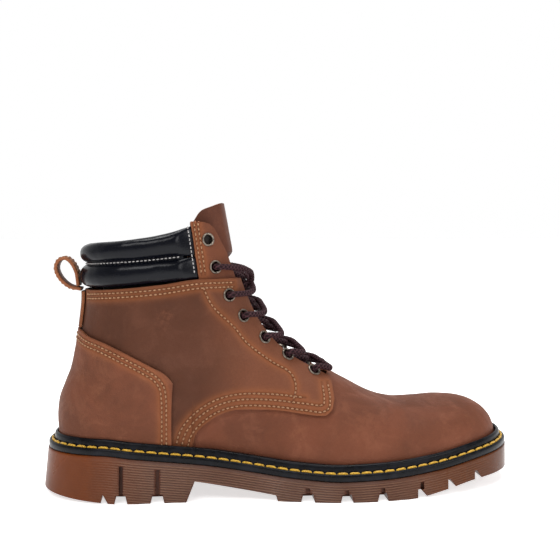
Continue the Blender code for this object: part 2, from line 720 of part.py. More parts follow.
def ridge_point(z, y, grow):
    """A point of the front surface at this height and distance from the ridge."""
    side = LATERAL if y < 0 else MEDIAL
    reach = float(front_reach(z, grow))
    x = reach - 60.0 * (1 - np.cos(np.linspace(0, pi / 2, 200)))
    width = half_width(x, z, side, grow)
    width[0] = 0.0
    at = float(np.interp(abs(y), width[:120], x[:120]))
    return Vector((at, centre_y(at) + y, z))


def strand(number, side, over):
    """Out of one eyelet, across the throat and up through the next one on the other side."""
    start, out = eyelet_frame(number, side, sum(eyelet_layer(number)) / 2)
    end, back = eyelet_frame(number - 1, -side, sum(eyelet_layer(number - 1)) / 2)
    level = LACE_OVER if over else LACE_UNDER
    under = -1.9 if number > FACING_EYELETS else -2.7
    edge, rise = float(throat_half(start.z)), end.z - start.z
    return [
        start + out * 4.7,
        ridge_point(start.z + 0.10 * rise, side * (edge + 1.0), 6.7),
        ridge_point(start.z + 0.44 * rise, side * 4.0, level + 0.5),
        ridge_point(start.z + 0.60 * rise, -side * 5.0, level),
        ridge_point(start.z + 0.80 * rise, -side * (edge - 2.0), under),
        end - back * 5.0,
        end,
    ]


def lace_points():
    """From tip to tip: down one side's strands, across the lowest eyelets, up the other side's."""
    last = len(EYELETS) - 1
    halves = []
    for first_side in (LATERAL, MEDIAL):
        points, side = [], first_side
        for number in range(last, FACING_EYELETS - 1, -1):
            points += strand(number, side, over=side == LATERAL)
            side = -side
        end, out = eyelet_frame(FACING_EYELETS - 1, side, 1.0)
        points += tail(end, out, side)
        halves.append(points)
    (left, out_left), (right, out_right) = (eyelet_frame(last, side, sum(QUARTER) / 2)
                                            for side in (LATERAL, MEDIAL))
    bar = [left, left - out_left * 5.0, ridge_point(left.z + 3, -5.0, -2.6),
           ridge_point(right.z + 3, 5.0, -2.6), right - out_right * 5.0, right]
    return list(reversed(halves[0])) + bar + halves[1]


def tail(end, out, side):
    """The free end: over the facing's edge, down under the crossings and tucked along the tongue."""
    return [
        end + out * 4.7,
        ridge_point(141.0, side * 16.5, 7.4),
        ridge_point(137.5, side * 8.0, 7.2),
        ridge_point(132.0, side * 5.5, 4.4),
        ridge_point(127.0, side * 5.0, TAIL_LEVEL + 0.4),
        ridge_point(121.0, side * 5.0, TAIL_LEVEL),
        ridge_point(115.0, side * 5.0, TAIL_LEVEL),
    ]


def smooth_path(points, per_span):
    """A centripetal curve through the points."""
    points = [np.array(p) for p in points]
    ends = [2 * points[0] - points[1]] + points + [2 * points[-1] - points[-2]]
    path = [points[0]]
    for a, b, c, d in zip(ends, ends[1:], ends[2:], ends[3:]):
        knots = [0.0]
        for p, q in ((a, b), (b, c), (c, d)):
            knots.append(knots[-1] + max(np.linalg.norm(q - p), 1e-6) ** 0.5)
        t0, t1, t2, t3 = knots
        for i in range(1, per_span + 1):
            t = t1 + (t2 - t1) * i / per_span
            a1 = (t1 - t) / (t1 - t0) * a + (t - t0) / (t1 - t0) * b
            a2 = (t2 - t) / (t2 - t1) * b + (t - t1) / (t2 - t1) * c
            a3 = (t3 - t) / (t3 - t2) * c + (t - t2) / (t3 - t2) * d
            b1 = (t2 - t) / (t2 - t0) * a1 + (t - t0) / (t2 - t0) * a2
            b2 = (t3 - t) / (t3 - t1) * a2 + (t - t1) / (t3 - t1) * a3
            path.append((t2 - t) / (t2 - t1) * b1 + (t - t1) / (t2 - t1) * b2)
    return path


def tube(name, points, radius, finish):
    line = bpy.data.curves.new(name, "CURVE")
    line.dimensions = "3D"
    line.bevel_depth = radius * MM
    line.bevel_resolution = 2
    line.use_fill_caps = True
    spline = line.splines.new("POLY")
    spline.points.add(len(points) - 1)
    for point, place in zip(spline.points, points):
        point.co = (*(Vector(place) * MM), 1.0)
    line.materials.append(material(finish))
    made = bpy.data.objects.new(name, line)
    bpy.context.scene.collection.objects.link(made)
    return made


def make_lace():
    route = lace_points()
    tube("lace", smooth_path(route, 1), LACE_RADIUS, "lace_cord")
    for name, end in (("lace_tip_medial", route[0]), ("lace_tip_lateral", route[-1])):
        along = (ridge_point(TIP_END, end.y - centre_y(end.x), TAIL_LEVEL) - end).normalized()
        start = end + along * GAP
        tube(name, [start, start + along * TIP_LENGTH], TIP_RADIUS, "lace_tip_plastic")


# ---------------------------------------------------------------- pull loop

def make_pull_loop():
    line = smooth_path([Vector((x, 0.0, z)) for x, z in LOOP_LINE], 2)
    loops = []
    for i, place in enumerate(line):
        along = line[min(i + 1, len(line) - 1)] - line[max(i - 1, 0)]
        normal = np.array([-along[2], 0.0, along[0]]) / np.linalg.norm(along) * LOOP_THICKNESS / 2
        half = np.array([0.0, LOOP_WIDTH / 2, 0.0])
        loops.append([place + normal - half, place + normal + half, place - normal + half, place - normal - half])
    strap = sweep("pull_loop", loops, "tan_leather")
    axis = Vector((LOOP_AXIS[0], 0.0, LOOP_AXIS[1])) * MM
    strap.data.transform(Matrix.Translation(-axis))
    strap.location = axis


def stand_over_origin():
    """Everything hangs on one empty, which brings the footprint's centre over the origin."""
    pieces = list(bpy.data.objects)
    boot = bpy.data.objects.new("boot", None)
    bpy.context.scene.collection.objects.link(boot)
    boot.location = (-FOOTPRINT_CENTRE[0] * MM, -FOOTPRINT_CENTRE[1] * MM, 0.0)
    for piece in pieces:
        piece.parent = boot


def main():
    for old in list(bpy.data.objects):
        bpy.data.objects.remove(old)
    make_outsole()
    make_welt()
    make_inner_bottom()
    make_toe_cap()
    make_vamp()
    make_quarters()
    make_heel_pieces()
    make_linings()
    make_collar()
    make_facings()
    make_tongue()
    make_eyelets()
    make_lace()
    make_pull_loop()
    stand_over_origin()


main()
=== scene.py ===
"""Looks of the steel toe work boot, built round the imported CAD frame.

Lengths are in millimetres until a mesh is made. +X points to the toe, +Z up, -Y is the lateral side.
The upper is a family of nested surfaces round one last: `grow` is how far a surface stands outside it.
"""
from math import cos, pi, radians, sin, sqrt

import bmesh
import bpy
import numpy as np
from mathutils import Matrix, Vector, noise
from mathutils.kdtree import KDTree


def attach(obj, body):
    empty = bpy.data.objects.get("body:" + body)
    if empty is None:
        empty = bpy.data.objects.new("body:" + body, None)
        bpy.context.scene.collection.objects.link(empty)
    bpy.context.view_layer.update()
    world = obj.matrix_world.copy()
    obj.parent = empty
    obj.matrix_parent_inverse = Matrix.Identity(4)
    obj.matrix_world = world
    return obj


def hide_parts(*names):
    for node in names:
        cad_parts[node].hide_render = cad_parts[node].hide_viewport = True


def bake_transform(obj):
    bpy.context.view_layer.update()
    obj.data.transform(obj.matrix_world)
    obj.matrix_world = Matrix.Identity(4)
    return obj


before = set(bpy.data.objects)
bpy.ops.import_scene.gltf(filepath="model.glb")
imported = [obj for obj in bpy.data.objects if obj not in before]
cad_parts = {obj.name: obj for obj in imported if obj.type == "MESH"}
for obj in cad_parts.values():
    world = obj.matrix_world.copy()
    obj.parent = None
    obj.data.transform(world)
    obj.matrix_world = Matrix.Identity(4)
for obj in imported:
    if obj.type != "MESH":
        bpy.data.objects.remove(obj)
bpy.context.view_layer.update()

MM = 0.001
SHIFT = np.array([0.27, -2.74, 0.0])  # brings the footprint's centre over the origin
LATERAL, MEDIAL = -1, 1
SIDES = (LATERAL, MEDIAL)
NAMED_SIDES = ((LATERAL, "lateral"), (MEDIAL, "medial"))

# --- the last ---
HEEL_X, TOE_X = -139.3, 144.2
BACK_LINE = [(20, -138.0), (39, -138.8), (48, -139.3), (58, -138.4), (68, -135.1), (78, -131.2),
             (87, -129.1), (104, -126.4), (125, -124.6), (200, -124.6)]  # z, x
FRONT_LINE = [(-150, 3000), (-90, 900), (-66, 440), (-52, 270), (-44, 205), (-40, 184), (-34.5, 159),
              (-31, 146), (-20, 119), (-8, 101.5), (4, 89.5), (18, 79.2), (29, 72.3), (42, 65.2), (60, 55.8),
              (70, 52.6), (81, 51.0), (94, 51.4), (108, 52.2), (118, 51.7), (127, 49.8), (135, 46),
              (140.5, 40.8), (143.4, 34.5), (144.2, 27)]  # x, z
LATERAL_WIDTH = [(-139, 28), (-100, 29.5), (-60, 30), (-25, 32), (10, 39.5), (35, 45), (60, 46.5), (95, 45),
                 (142, 43)]
MEDIAL_WIDTH = [(-139, 28), (-100, 29.5), (-60, 29), (-25, 29), (10, 36), (40, 43.5), (60, 45), (95, 44),
                (142, 42)]
SHAFT_WIDTH = 33.0
SHAFT_FROM, SHAFT_TO = 48.0, 100.0
HEEL_ROUND, TOE_ROUND = 46.0, 70.0
ROUND_POWER = 2.25
ARCH_POWER = [(-60, 2.0), (-20, 2.1), (20, 2.5), (60, 2.7), (100, 2.5), (142, 2.3)]
TOE_SWING, SWING_FROM, SWING_TO = 9.0, 10.0, 130.0

# --- the bottom ---
SOLE_TOP = [(-153, 28.5), (-115, 28.5), (-96, 26.5), (-72, 24), (-55, 22.2), (5, 13.6), (30, 12.2),
            (58, 12.8), (93, 16), (123, 20.5), (153, 24)]
TREAD_LINE = [(-154, 4.2), (-138, 2.5), (-120, 1.1), (-100, 0), (72, 0), (86, 1.4), (100, 4.0), (120, 7.4),
              (153, 9)]
SOLE_EDGE = [(-153, 13.4), (-60, 12.4), (20, 10.4), (153, 8.8)]
WELT_INNER_HEEL, WELT_INNER_FRONT = 7.2, 2.5
WELT_STEP_FROM, WELT_STEP_TO = -70.0, -40.0
WELT_BASE, LEDGE_HEIGHT, BEAD_HEIGHT, BEAD_INSET = 0.3, 5.4, 9.4, 4.0
HEEL_FLARE = 2.2
ARCH_GAP = [(-65.5, -5), (-58.4, 12.6), (-8.8, 3.6), (-6.2, -5)]
NOTCH_HEIGHT, NOTCH_DEPTH, SLOT_DEPTH = 5.2, 14.0, 2.2
NOTCHES = [(-113, 4.5), (-103, 6.5), (-81, 7), (10.5, 7), (34, 6.5), (56.5, 5.5), (82, 5.5), (102.5, 5),
           (122, 4.5)]
CHANNELS = [-122.0, -92.0, -70.0, -1.0, 22.0, 45.0, 69.0, 92.0, 112.0]
CHANNEL_HEIGHT, CHANNEL_REACH = 3.2, 24.0
RIB_DEPTH, RIB_PITCH = 0.5, 1.5
RIBS = [(-153, 0.0), (-128, 0.02), (-112, 0.16), (-100, 0.5), (60, 0.5), (75, 0.3), (118, 0.2), (136, 0.0)]

# --- layers, as grow of their outer faces, with their thickness ---
VAMP, QUARTER, HEEL_COVER = (1.9, 1.8), (4.2, 1.8), (6.6, 1.8)
QUARTER_LINING, FACING_LINING, SEAM_TAPE = (-0.9, 1.0), (-0.6, 0.5), (3.4, 1.0)
SLEEVE_LOW, SLEEVE_HIGH, SLEEVE_THICKNESS = -2.4, -7.3, 1.0
FEATHER_RISE, FOOT_RISE = 3.0, 0.7  # above the sole's top: the widest level, and the leathers' feet

# --- outlines of the leathers, seen from the side ---
TOP_EDGE = [(-140, 128.4), (-126, 128.6), (-80, 132.4), (-56, 135.7), (-28, 136)]
QUARTER_LOW = [(-61, 10), (-58.5, 38), (-52, 45.5), (-42.4, 51.6), (-31.7, 54.4), (-11.8, 54.2),
               (21.5, 50.8), (27.5, 54.5), (29, 60)]
QUARTER_RISE, QUARTER_FRONT = -60.9, 28.6  # where its lower edge leaves the sole, and where it ends
VAMP_TOP = [(-72, 43), (-58, 52), (-42, 61), (-30, 63.5), (5, 63), (18, 65), (27, 71), (32, 80), (33, 400)]
VAMP_REAR = -71.0
COVER_EDGE = [(-140, 106), (-130.8, 103.0), (-126, 100.4), (-115, 96.8), (-100.4, 90.2), (-84.7, 81.9),
              (-76.5, 77.0), (-71.4, 70.5), (-69.6, 62), (-69.3, 40)]
COVER_FRONT = -69.4
THROAT_FROM = -34.0
THROAT_HALF = [(60, 14), (112, 14.6), (125, 16), (136, 19), (150, 20.5), (160, 23), (172, 27)]
# the cover's edge where its outer face ends
COVER_ROW = [(-134.6, 104.2), (-133.3, 103.8), (-130.8, 103), (-126, 100.4), (-115, 96.8), (-100.4, 90.2),
             (-84.7, 81.9), (-78.5, 77.2), (-74.4, 70.8), (-73, 62), (-72.8, 50), (-72.8, 31)]
EYESTAY_ROW = [(-53.4, 131.2), (-47.5, 119.3), (-33.5, 105.2), (-25.5, 95.2), (-9.6, 83), (2.3, 75.6),
               (5.1, 68.2), (2.3, 57.7)]
LOWER_ROW = [(-60.6, 31), (-58.5, 38), (-52, 45.5), (-42.4, 51.6), (-31.7, 54.4), (-11.8, 54.2), (10, 51.8),
             (21.5, 50.8), (27.0, 54.0), (28.6, 60), (28.4, 70)]

# --- collar and facings ---
ROLL_FRONT, FACING_REAR = -65.5, -60.9
ROLL_SEAM = [(-140, 144), (-92, 147.2), (-60, 150.6)]
ROLL_TOP = [(-140, 157.6), (-108, 159.6), (-90, 161.8), (-74, 165.5), (-61, 170.5)]
ROLL_BOTTOM = [(-140, 129.2), (-126, 129.4), (-80, 133.2), (-56, 136.6)]
ROLL_INNER, ROLL_OUTER = -6.6, 7.0
ROLL_END_INNER, ROLL_END_OUTER = -1.0, 2.3
ROLL_SLACK, ROLL_SKIN = 0.2, 0.4  # what is left for the stuffing to fill, in height and in depth
FACING_TOP, FACING_BOTTOM = 171.5, 131.5

# --- tongue ---
TONGUE_BOTTOM, TONGUE_TIP = 69.0, 184.0
TONGUE_HALF = [(69, 21), (100, 26), (148, 31), (160, 29), (168, 27.2), (173, 25.5), (179.2, 22.8),
               (182.2, 18.5), (183.3, 16), (184, 13)]
TONGUE_LEVEL = [(69, -5.4), (84, -7.0), (130, -7.0), (146.5, -5.2), (153, -0.2), (160, 0.4), (184, 1.2)]
TONGUE_EDGE_LEVEL = -9.8
TONGUE_THICKNESS = 2.6

# --- lacing ---
EYELETS = [(-50.5, 160.3), (-45.8, 143.0), (-37.2, 125.4), (-28.1, 112.0), (-14.3, 97.6), (0.9, 86.0),
           (18.0, 75.6)]
FACING_EYELETS = 2
EYELET_HOLE, EYELET_BARREL, EYELET_FLANGE = 2.95, 3.4, 4.3
FACING_LEVEL, QUARTER_LEVEL = 0.95, 3.3  # the eyelets' middles, as grow
LACE_RADIUS = 1.95
LACE_OVER, LACE_UNDER = 4.0, 0.2
LACE_OUT, LACE_IN = 4.7, 5.0  # how far it stands out of an eyelet and in behind it before it turns
TAIL_LEVEL = -4.9

# --- pull loop ---
LOOP_LINE = [(-130.9, 128.4), (-138.6, 130.4), (-144.6, 136.0), (-146.9, 142.2), (-144.9, 147.2),
             (-140.9, 148.2), (-137.2, 145.4), (-134.2, 139.6), (-133.2, 133.8), (-132.8, 130.6)]
LOOP_WIDTH, LOOP_THICKNESS = 15.0, 2.0

# --- stitches, as their pitch, length and radius ---
LEATHER_STITCH, FACING_STITCH, COLLAR_STITCH = (2.9, 1.7, 0.44), (2.9, 1.7, 0.42), (2.5, 1.7, 0.36)
LOOP_STITCH, WELT_STITCH = (2.7, 2.0, 0.33), (7.4, 6.6, 0.82)

# --- footbed ---
FOOTBED_GROW, FOOTBED_LEVEL, FOOTBED_CUP, FOOTBED_THICKNESS = -8.0, 11.5, 1.1, 3.0


# ---------------------------------------------------------------- the last's surfaces, as in the CAD

def curve(points):
    """A smooth function through the points that never overshoots between two of them."""
    xs, ys = np.array(points, float).T
    step = np.diff(xs)
    slope = np.diff(ys) / step
    tangent = np.empty_like(ys)
    tangent[0], tangent[-1] = slope[0], slope[-1]
    for i in range(1, len(xs) - 1):
        before, after = slope[i - 1], slope[i]
        tangent[i] = 2 * before * after / (before + after) if before * after > 0 else 0.0

    def value(x):
        x = np.clip(x, xs[0], xs[-1])
        i = np.clip(np.searchsorted(xs, x) - 1, 0, len(xs) - 2)
        t = (x - xs[i]) / step[i]
        return ((1 + 2 * t) * (1 - t) ** 2 * ys[i] + t * (1 - t) ** 2 * step[i] * tangent[i]
                + t * t * (3 - 2 * t) * ys[i + 1] + t * t * (t - 1) * step[i] * tangent[i + 1])

    return value


def smoothstep(x, low, high):
    t = np.clip((x - low) / (high - low), 0.0, 1.0)
    return t * t * (3 - 2 * t)


back_x = curve(BACK_LINE)
front_z = curve(FRONT_LINE)
side_width = {LATERAL: curve(LATERAL_WIDTH), MEDIAL: curve(MEDIAL_WIDTH)}
arch_power = curve(ARCH_POWER)
sole_top = curve(SOLE_TOP)
tread_line = curve(TREAD_LINE)
sole_edge = curve(SOLE_EDGE)
throat_half = curve(THROAT_HALF)
front_tables = {}


def front_table(grow):
    """The front line moved outwards by grow, as x and z arrays."""
    if grow not in front_tables:
        x = np.concatenate([np.linspace(-150, 120, 700), np.linspace(120.2, TOE_X, 240)])
        z = front_z(x)
        dx, dz = np.gradient(x), np.gradient(z)
        length = np.hypot(dx, dz)
        moved = x - dz / length * grow
        order = np.argsort(moved)
        front_tables[grow] = moved[order], (z + dx / length * grow)[order]
    return front_tables[grow]


def front_height(x, grow):
    return np.interp(x, *front_table(grow))


def front_reach(z, grow):
    xs, zs = front_table(grow)
    shaft = xs < 55
    return np.interp(-z, -zs[shaft], xs[shaft])


def feather(x):
    return sole_top(x) + FEATHER_RISE


def centre_y(x):
    return TOE_SWING * smoothstep(x, SWING_FROM, SWING_TO)


def rounding(distance, radius):
    left = np.clip(1 - distance / radius, 0.0, 1.0)
    return (1 - left ** ROUND_POWER) ** (1 / ROUND_POWER)


def plan_width(x, z, side, grow):
    foot = side_width[side](x)
    full = foot + (SHAFT_WIDTH - foot) * smoothstep(z, SHAFT_FROM, SHAFT_TO) + grow
    heel = rounding(x - back_x(z) + grow, HEEL_ROUND + grow)
    return full * heel * rounding(TOE_X + grow - x, TOE_ROUND + grow)


def half_width(x, z, side, grow):
    height = np.maximum(front_height(x, grow) - feather(x), 0.01)
    rise = np.clip((z - feather(x)) / height, 0.0, 1.0)
    return plan_width(x, z, side, grow) * np.sqrt(1 - rise ** arch_power(x))


def slopes(x, z, side, grow, step):
    """How fast the half width grows with x and with z."""
    return ((half_width(x + step, z, side, grow) - half_width(x - step, z, side, grow)) / (2 * step),
            (half_width(x, z + step, side, grow) - half_width(x, z - step, side, grow)) / (2 * step))


def station(x):
    return (x - HEEL_X) / (TOE_X - HEEL_X)


def wall_x(u, z, grow):
    flat = HEEL_X + u * (TOE_X - HEEL_X)
    fade = np.clip(1 - (flat - HEEL_X) / 95.0, 0.0, 1.0) ** 1.4
    return flat + grow * (2 * u - 1) + (back_x(z) - HEEL_X) * fade


def surface(u, z, side, grow):
    x = wall_x(u, z, grow)
    y = centre_y(x) + side * half_width(x, z, side, grow)
    return np.stack([x, y, z + 0 * x], -1)


def lengths(points):
    return np.concatenate([[0], np.cumsum(np.linalg.norm(np.diff(points, axis=0), axis=1))])


def unit(vectors):
    return vectors / np.linalg.norm(vectors, axis=-1, keepdims=True)


def resample(points, count):
    """The polyline's points at equal steps of length."""
    along = lengths(points)
    wanted = np.linspace(0, along[-1], count)
    return np.stack([np.interp(wanted, along, points[:, k]) for k in range(points.shape[1])], -1)


def height_at_width(x, side, grow, width):
    z = feather(x)
    for _ in range(6):
        share = np.clip(width / np.maximum(plan_width(x, z, side, grow), 0.01), 0.0, 1.0)
        z = feather(x) + (front_height(x, grow) - feather(x)) * (1 - share ** 2) ** (1 / arch_power(x))
    return z


def columns(stations, side, grow, low, high, count, throat=None):
    """A grid of points up the wall between the side-view lines low(x) and high(x)."""
    u = np.array(stations, float)
    ends = []
    for line in (low, high):
        z = np.full(len(u), 60.0)
        for _ in range(14):
            x = wall_x(u, z, grow)
            z = line(x) + 0 * x
            if line is high and throat is not None:
                limit = height_at_width(x, side, grow, throat(z))
                z = np.where(x > THROAT_FROM, np.minimum(z, limit), z)
        ends.append(z)
    z = ends[0][:, None] + np.maximum(ends[1] - ends[0], 0.5)[:, None] * np.sin(np.linspace(0, pi / 2, 160))
    return np.array([resample(line, count) for line in surface(u[:, None], z, side, grow)])


def spread(first, last, count, power=1.0):
    return [station(first + (last - first) * (i / (count - 1)) ** power) for i in range(count)]


def toe_spread(first, count):
    start = station(first)
    return [start + (1 - start) * sin(pi / 2 * i / (count - 1)) for i in range(count)]


def upper_foot(x):
    return sole_top(x) + FOOT_RISE


def quarter_low(x, line=curve(QUARTER_LOW)):
    return np.where(x < QUARTER_RISE, upper_foot(x), np.maximum(line(x), upper_foot(x)))


def outline(grow, per_side):
    """Closed plan outline at the feather line: lateral side from heel to toe, then medial side back."""
    turns = (1 - np.cos(pi * np.arange(per_side + 1) / per_side)) / 2
    flat = HEEL_X + turns * (TOE_X - HEEL_X)
    out, back = (np.array([surface(u, feather(x), side, float(grow(x))) for u, x in zip(turns, flat)])
                 for side in SIDES)
    return np.concatenate([out, back[-2:0:-1]])


# ---------------------------------------------------------------- lace route, as in the CAD

def eyelet_frame(number, side, grow):
    x, z = EYELETS[number]
    slope_x, slope_z = slopes(x, z, side, grow, 0.5)
    normal = Vector((-slope_x, side, -slope_z)).normalized()
    return Vector((x, centre_y(x) + side * half_width(x, z, side, grow), z)), normal


def eyelet(number, side):
    """An eyelet's middle and the direction it faces."""
    return eyelet_frame(number, side, FACING_LEVEL if number < FACING_EYELETS else QUARTER_LEVEL)


def ridge_point(z, y, grow):
    side = LATERAL if y < 0 else MEDIAL
    x = float(front_reach(z, grow)) - 60.0 * (1 - np.cos(np.linspace(0, pi / 2, 200)))
    width = half_width(x, z, side, grow)
    width[0] = 0.0
    at = float(np.interp(abs(y), width[:120], x[:120]))
    return Vector((at, centre_y(at) + y, z))


def strand(number, side, over):
    start, out = eyelet(number, side)
    end, back = eyelet(number - 1, -side)
    level = LACE_OVER if over else LACE_UNDER
    under = -1.9 if number > FACING_EYELETS else -2.7
    edge, rise = float(throat_half(start.z)), end.z - start.z
    return [
        start + out * LACE_OUT,
        ridge_point(start.z + 0.10 * rise, side * (edge + 1.0), 6.7),
        ridge_point(start.z + 0.44 * rise, side * 4.0, level + 0.5),
        ridge_point(start.z + 0.60 * rise, -side * 5.0, level),
        ridge_point(start.z + 0.80 * rise, -side * (edge - 2.0), under),
        end - back * LACE_IN,
        end,
    ]


def tail(end, out, side):
    return [
        end + out * LACE_OUT,
        ridge_point(141.0, side * 16.5, 7.4),
        ridge_point(137.5, side * 8.0, 7.2),
        ridge_point(132.0, side * 5.5, 4.4),
        ridge_point(127.0, side * 5.0, TAIL_LEVEL + 0.4),
        ridge_point(121.0, side * 5.0, TAIL_LEVEL),
        ridge_point(115.0, side * 5.0, TAIL_LEVEL),
    ]


def lace_points():
    last = len(EYELETS) - 1
    halves = []
    for first_side in SIDES:
        points, side = [], first_side
        for number in range(last, FACING_EYELETS - 1, -1):
            points += strand(number, side, over=side == LATERAL)
            side = -side
        end, out = eyelet_frame(FACING_EYELETS - 1, side, 1.0)
        points += tail(end, out, side)
        halves.append(points)
    (left, out_left), (right, out_right) = (eyelet(last, side) for side in SIDES)
    bar = [left, left - out_left * LACE_IN, ridge_point(left.z + 3, -5.0, -2.6),
           ridge_point(right.z + 3, 5.0, -2.6), right - out_right * LACE_IN, right]
    return list(reversed(halves[0])) + bar + halves[1]


def smooth_path(points, per_span):
    """A centripetal curve through the points."""
    points = [np.array(p) for p in points]
    ends = [2 * points[0] - points[1]] + points + [2 * points[-1] - points[-2]]
    path = [points[0]]
    for a, b, c, d in zip(ends, ends[1:], ends[2:], ends[3:]):
        knots = [0.0]
        for p, q in ((a, b), (b, c), (c, d)):
            knots.append(knots[-1] + max(np.linalg.norm(q - p), 1e-6) ** 0.5)
        t0, t1, t2, t3 = knots
        for i in range(1, per_span + 1):
            t = t1 + (t2 - t1) * i / per_span
            a1 = (t1 - t) / (t1 - t0) * a + (t - t0) / (t1 - t0) * b
            a2 = (t2 - t) / (t2 - t1) * b + (t - t1) / (t2 - t1) * c
            a3 = (t3 - t) / (t3 - t2) * c + (t - t2) / (t3 - t2) * d
            b1 = (t2 - t) / (t2 - t0) * a1 + (t - t0) / (t2 - t0) * a2
            b2 = (t3 - t) / (t3 - t1) * a2 + (t - t1) / (t3 - t1) * a3
            path.append((t2 - t) / (t2 - t1) * b1 + (t - t1) / (t2 - t1) * b2)
    return np.array(path)


# ---------------------------------------------------------------- mesh helpers

def grid_faces(rows, count, start=0, closed=False, flip=False):
    numbers = start + np.arange(rows * count).reshape(rows, count)
    if closed:
        numbers = np.concatenate([numbers, numbers[:, :1]], 1)
    corners = [numbers[:-1, :-1], numbers[1:, :-1], numbers[1:, 1:], numbers[:-1, 1:]]
    quads = np.stack(corners[::-1] if flip else corners, -1)
    return quads.reshape(-1, 4).tolist()


def new_object(name, points, faces, *finishes):
    """A smooth-shaded mesh object from points in millimetres."""
    mesh = bpy.data.meshes.new(name)
    mesh.from_pydata(((np.asarray(points) + SHIFT) * MM).tolist(), [], faces)
    mesh.shade_smooth()
    for finish in finishes:
        mesh.materials.append(finish)
    made = bpy.data.objects.new(name, mesh)
    bpy.context.scene.collection.objects.link(made)
    return made


def tube(name, loops, *finishes, flip=False):
    """A closed skin over equal loops of points, with flat ends."""
    rows, count = loops.shape[:2]
    faces = grid_faces(rows, count, closed=True, flip=flip)
    first, last = list(range(count)), list(range((rows - 1) * count, rows * count))
    faces += [first, last[::-1]] if flip else [first[::-1], last]
    return new_object(name, loops.reshape(-1, 3), faces, *finishes)


def face_outward(obj):
    bm = bmesh.new()
    bm.from_mesh(obj.data)
    bmesh.ops.recalc_face_normals(bm, faces=bm.faces)
    bm.to_mesh(obj.data)
    bm.free()


def mark_points(obj, key, values):
    """A number at each point, for the materials to read."""
    layer = obj.data.attributes.new(key, "FLOAT", "POINT")
    layer.data.foreach_set("value", values.astype(np.float32).ravel())


def apply_modifiers(obj):
    graph = bpy.context.evaluated_depsgraph_get()
    mesh = bpy.data.meshes.new_from_object(obj.evaluated_get(graph))
    obj.modifiers.clear()
    obj.data = mesh
    return obj


def place(obj, body, slot, *nodes):
    """The piece rides on a body and stands for CAD nodes. The argument slot is not used."""
    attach(obj, body)
    if nodes:
        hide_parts(*nodes)


def weld(obj, distance=0.02):
    mesh = obj.data
    bm = bmesh.new()
    bm.from_mesh(mesh)
    bmesh.ops.remove_doubles(bm, verts=bm.verts, dist=distance * MM)
    bmesh.ops.dissolve_degenerate(bm, edges=bm.edges, dist=1e-7)
    bm.to_mesh(mesh)
    bm.free()


def relief(obj, rows):
    """Soft waves all over the leather, and a groove with raised banks along each stitched row."""
    mesh = obj.data
    mesh.update()
    co = np.array([v.co for v in mesh.vertices])
    normals = np.array([v.normal for v in mesh.vertices])
    move = np.array([0.16 * noise.noise(Vector(p) * 55) + 0.05 * noise.noise(Vector(p) * 210) for p in co])
    if rows:
        dots = np.concatenate([(line + SHIFT) * MM for line, _ in rows])[::2]
        tree = KDTree(len(dots))
        for i, dot in enumerate(dots):
            tree.insert(dot, i)
        tree.balance()
        away = np.array([tree.find(p)[2] for p in co]) / MM
        move += 0.14 * np.exp(-((away - 1.7) / 0.9) ** 2) - 0.42 * np.exp(-(away / 0.8) ** 2)
        mark_points(obj, "sewn", np.exp(-(away / 3.0) ** 2))
        # groove marks where the leather gets painted shade in the stitch grooves
        mark_points(obj, "groove", np.exp(-(away / 0.75) ** 2))
    co += normals * move[:, None] * MM
    mesh.vertices.foreach_set("co", co.astype(np.float32).ravel())
    mesh.update()


def panel(name, patches, thickness, finish, rows=(), holes=(), bevel=0.4):
    """A leather piece with a raw cut edge: patches are (side, grid of its outer face)."""
    points, faces = [], []
    start = 0
    for side, grid in patches:
        points.append(grid.reshape(-1, 3))
        faces += grid_faces(*grid.shape[:2], start=start, flip=side == MEDIAL)
        start += grid.shape[0] * grid.shape[1]
    made = new_object(name, np.concatenate(points), faces, finish, raw_edge)
    weld(made)
    relief(made, rows)
    solid = made.modifiers.new("thickness", "SOLIDIFY")
    solid.thickness = thickness * MM
    solid.offset = -1.0
    solid.material_offset_rim = 1
    if holes:
        apply_modifiers(made)
        for centre, normal in holes:
            subtract(made, [barrel(centre, normal, EYELET_BARREL + 0.1, 4.0)])
    edge = made.modifiers.new("edge", "BEVEL")
    edge.width = bevel * MM
    edge.segments = 2
    edge.limit_method = "ANGLE"
    edge.angle_limit = radians(55)
    return apply_modifiers(made)


def subtract(obj, solids):
    """Cuts away closed shapes that are clear of each other: each is (points, faces)."""
    points, faces = [], []
    for corners, polygons in solids:
        faces += [tuple(v + len(points) for v in face) for face in polygons]
        points += [np.array(c, float) for c in corners]
    tool = new_object("cutter", points, faces)
    face_outward(tool)
    change = obj.modifiers.new("cut", "BOOLEAN")
    change.operation = "DIFFERENCE"
    change.solver = "MANIFOLD"
    change.object = tool
    apply_modifiers(obj)
    bpy.data.objects.remove(tool)


def barrel(centre, normal, radius, half, sides=20):
    """A closed cylinder round an axis."""
    turn = normal.to_track_quat("Z", "Y")
    turns = [2 * pi * k / sides for k in range(sides)]
    points = [centre + turn @ Vector((radius * cos(a), radius * sin(a), end))
              for end in (-half, half) for a in turns]
    faces = [tuple(reversed(range(sides))), tuple(range(sides, 2 * sides))]
    faces += [(k, (k + 1) % sides, (k + 1) % sides + sides, k + sides) for k in range(sides)]
    return points, faces


def prism(profile, left, right):
    """An XZ outline drawn out along Y."""
    points = [(x, y, z) for y in (left, right) for x, z in profile]
    count = len(profile)
    faces = [tuple(range(count)), tuple(reversed(range(count, 2 * count)))]
    faces += [(i, i + count, (i + 1) % count + count, (i + 1) % count) for i in range(count)]
    return points, faces


# ---------------------------------------------------------------- stitching

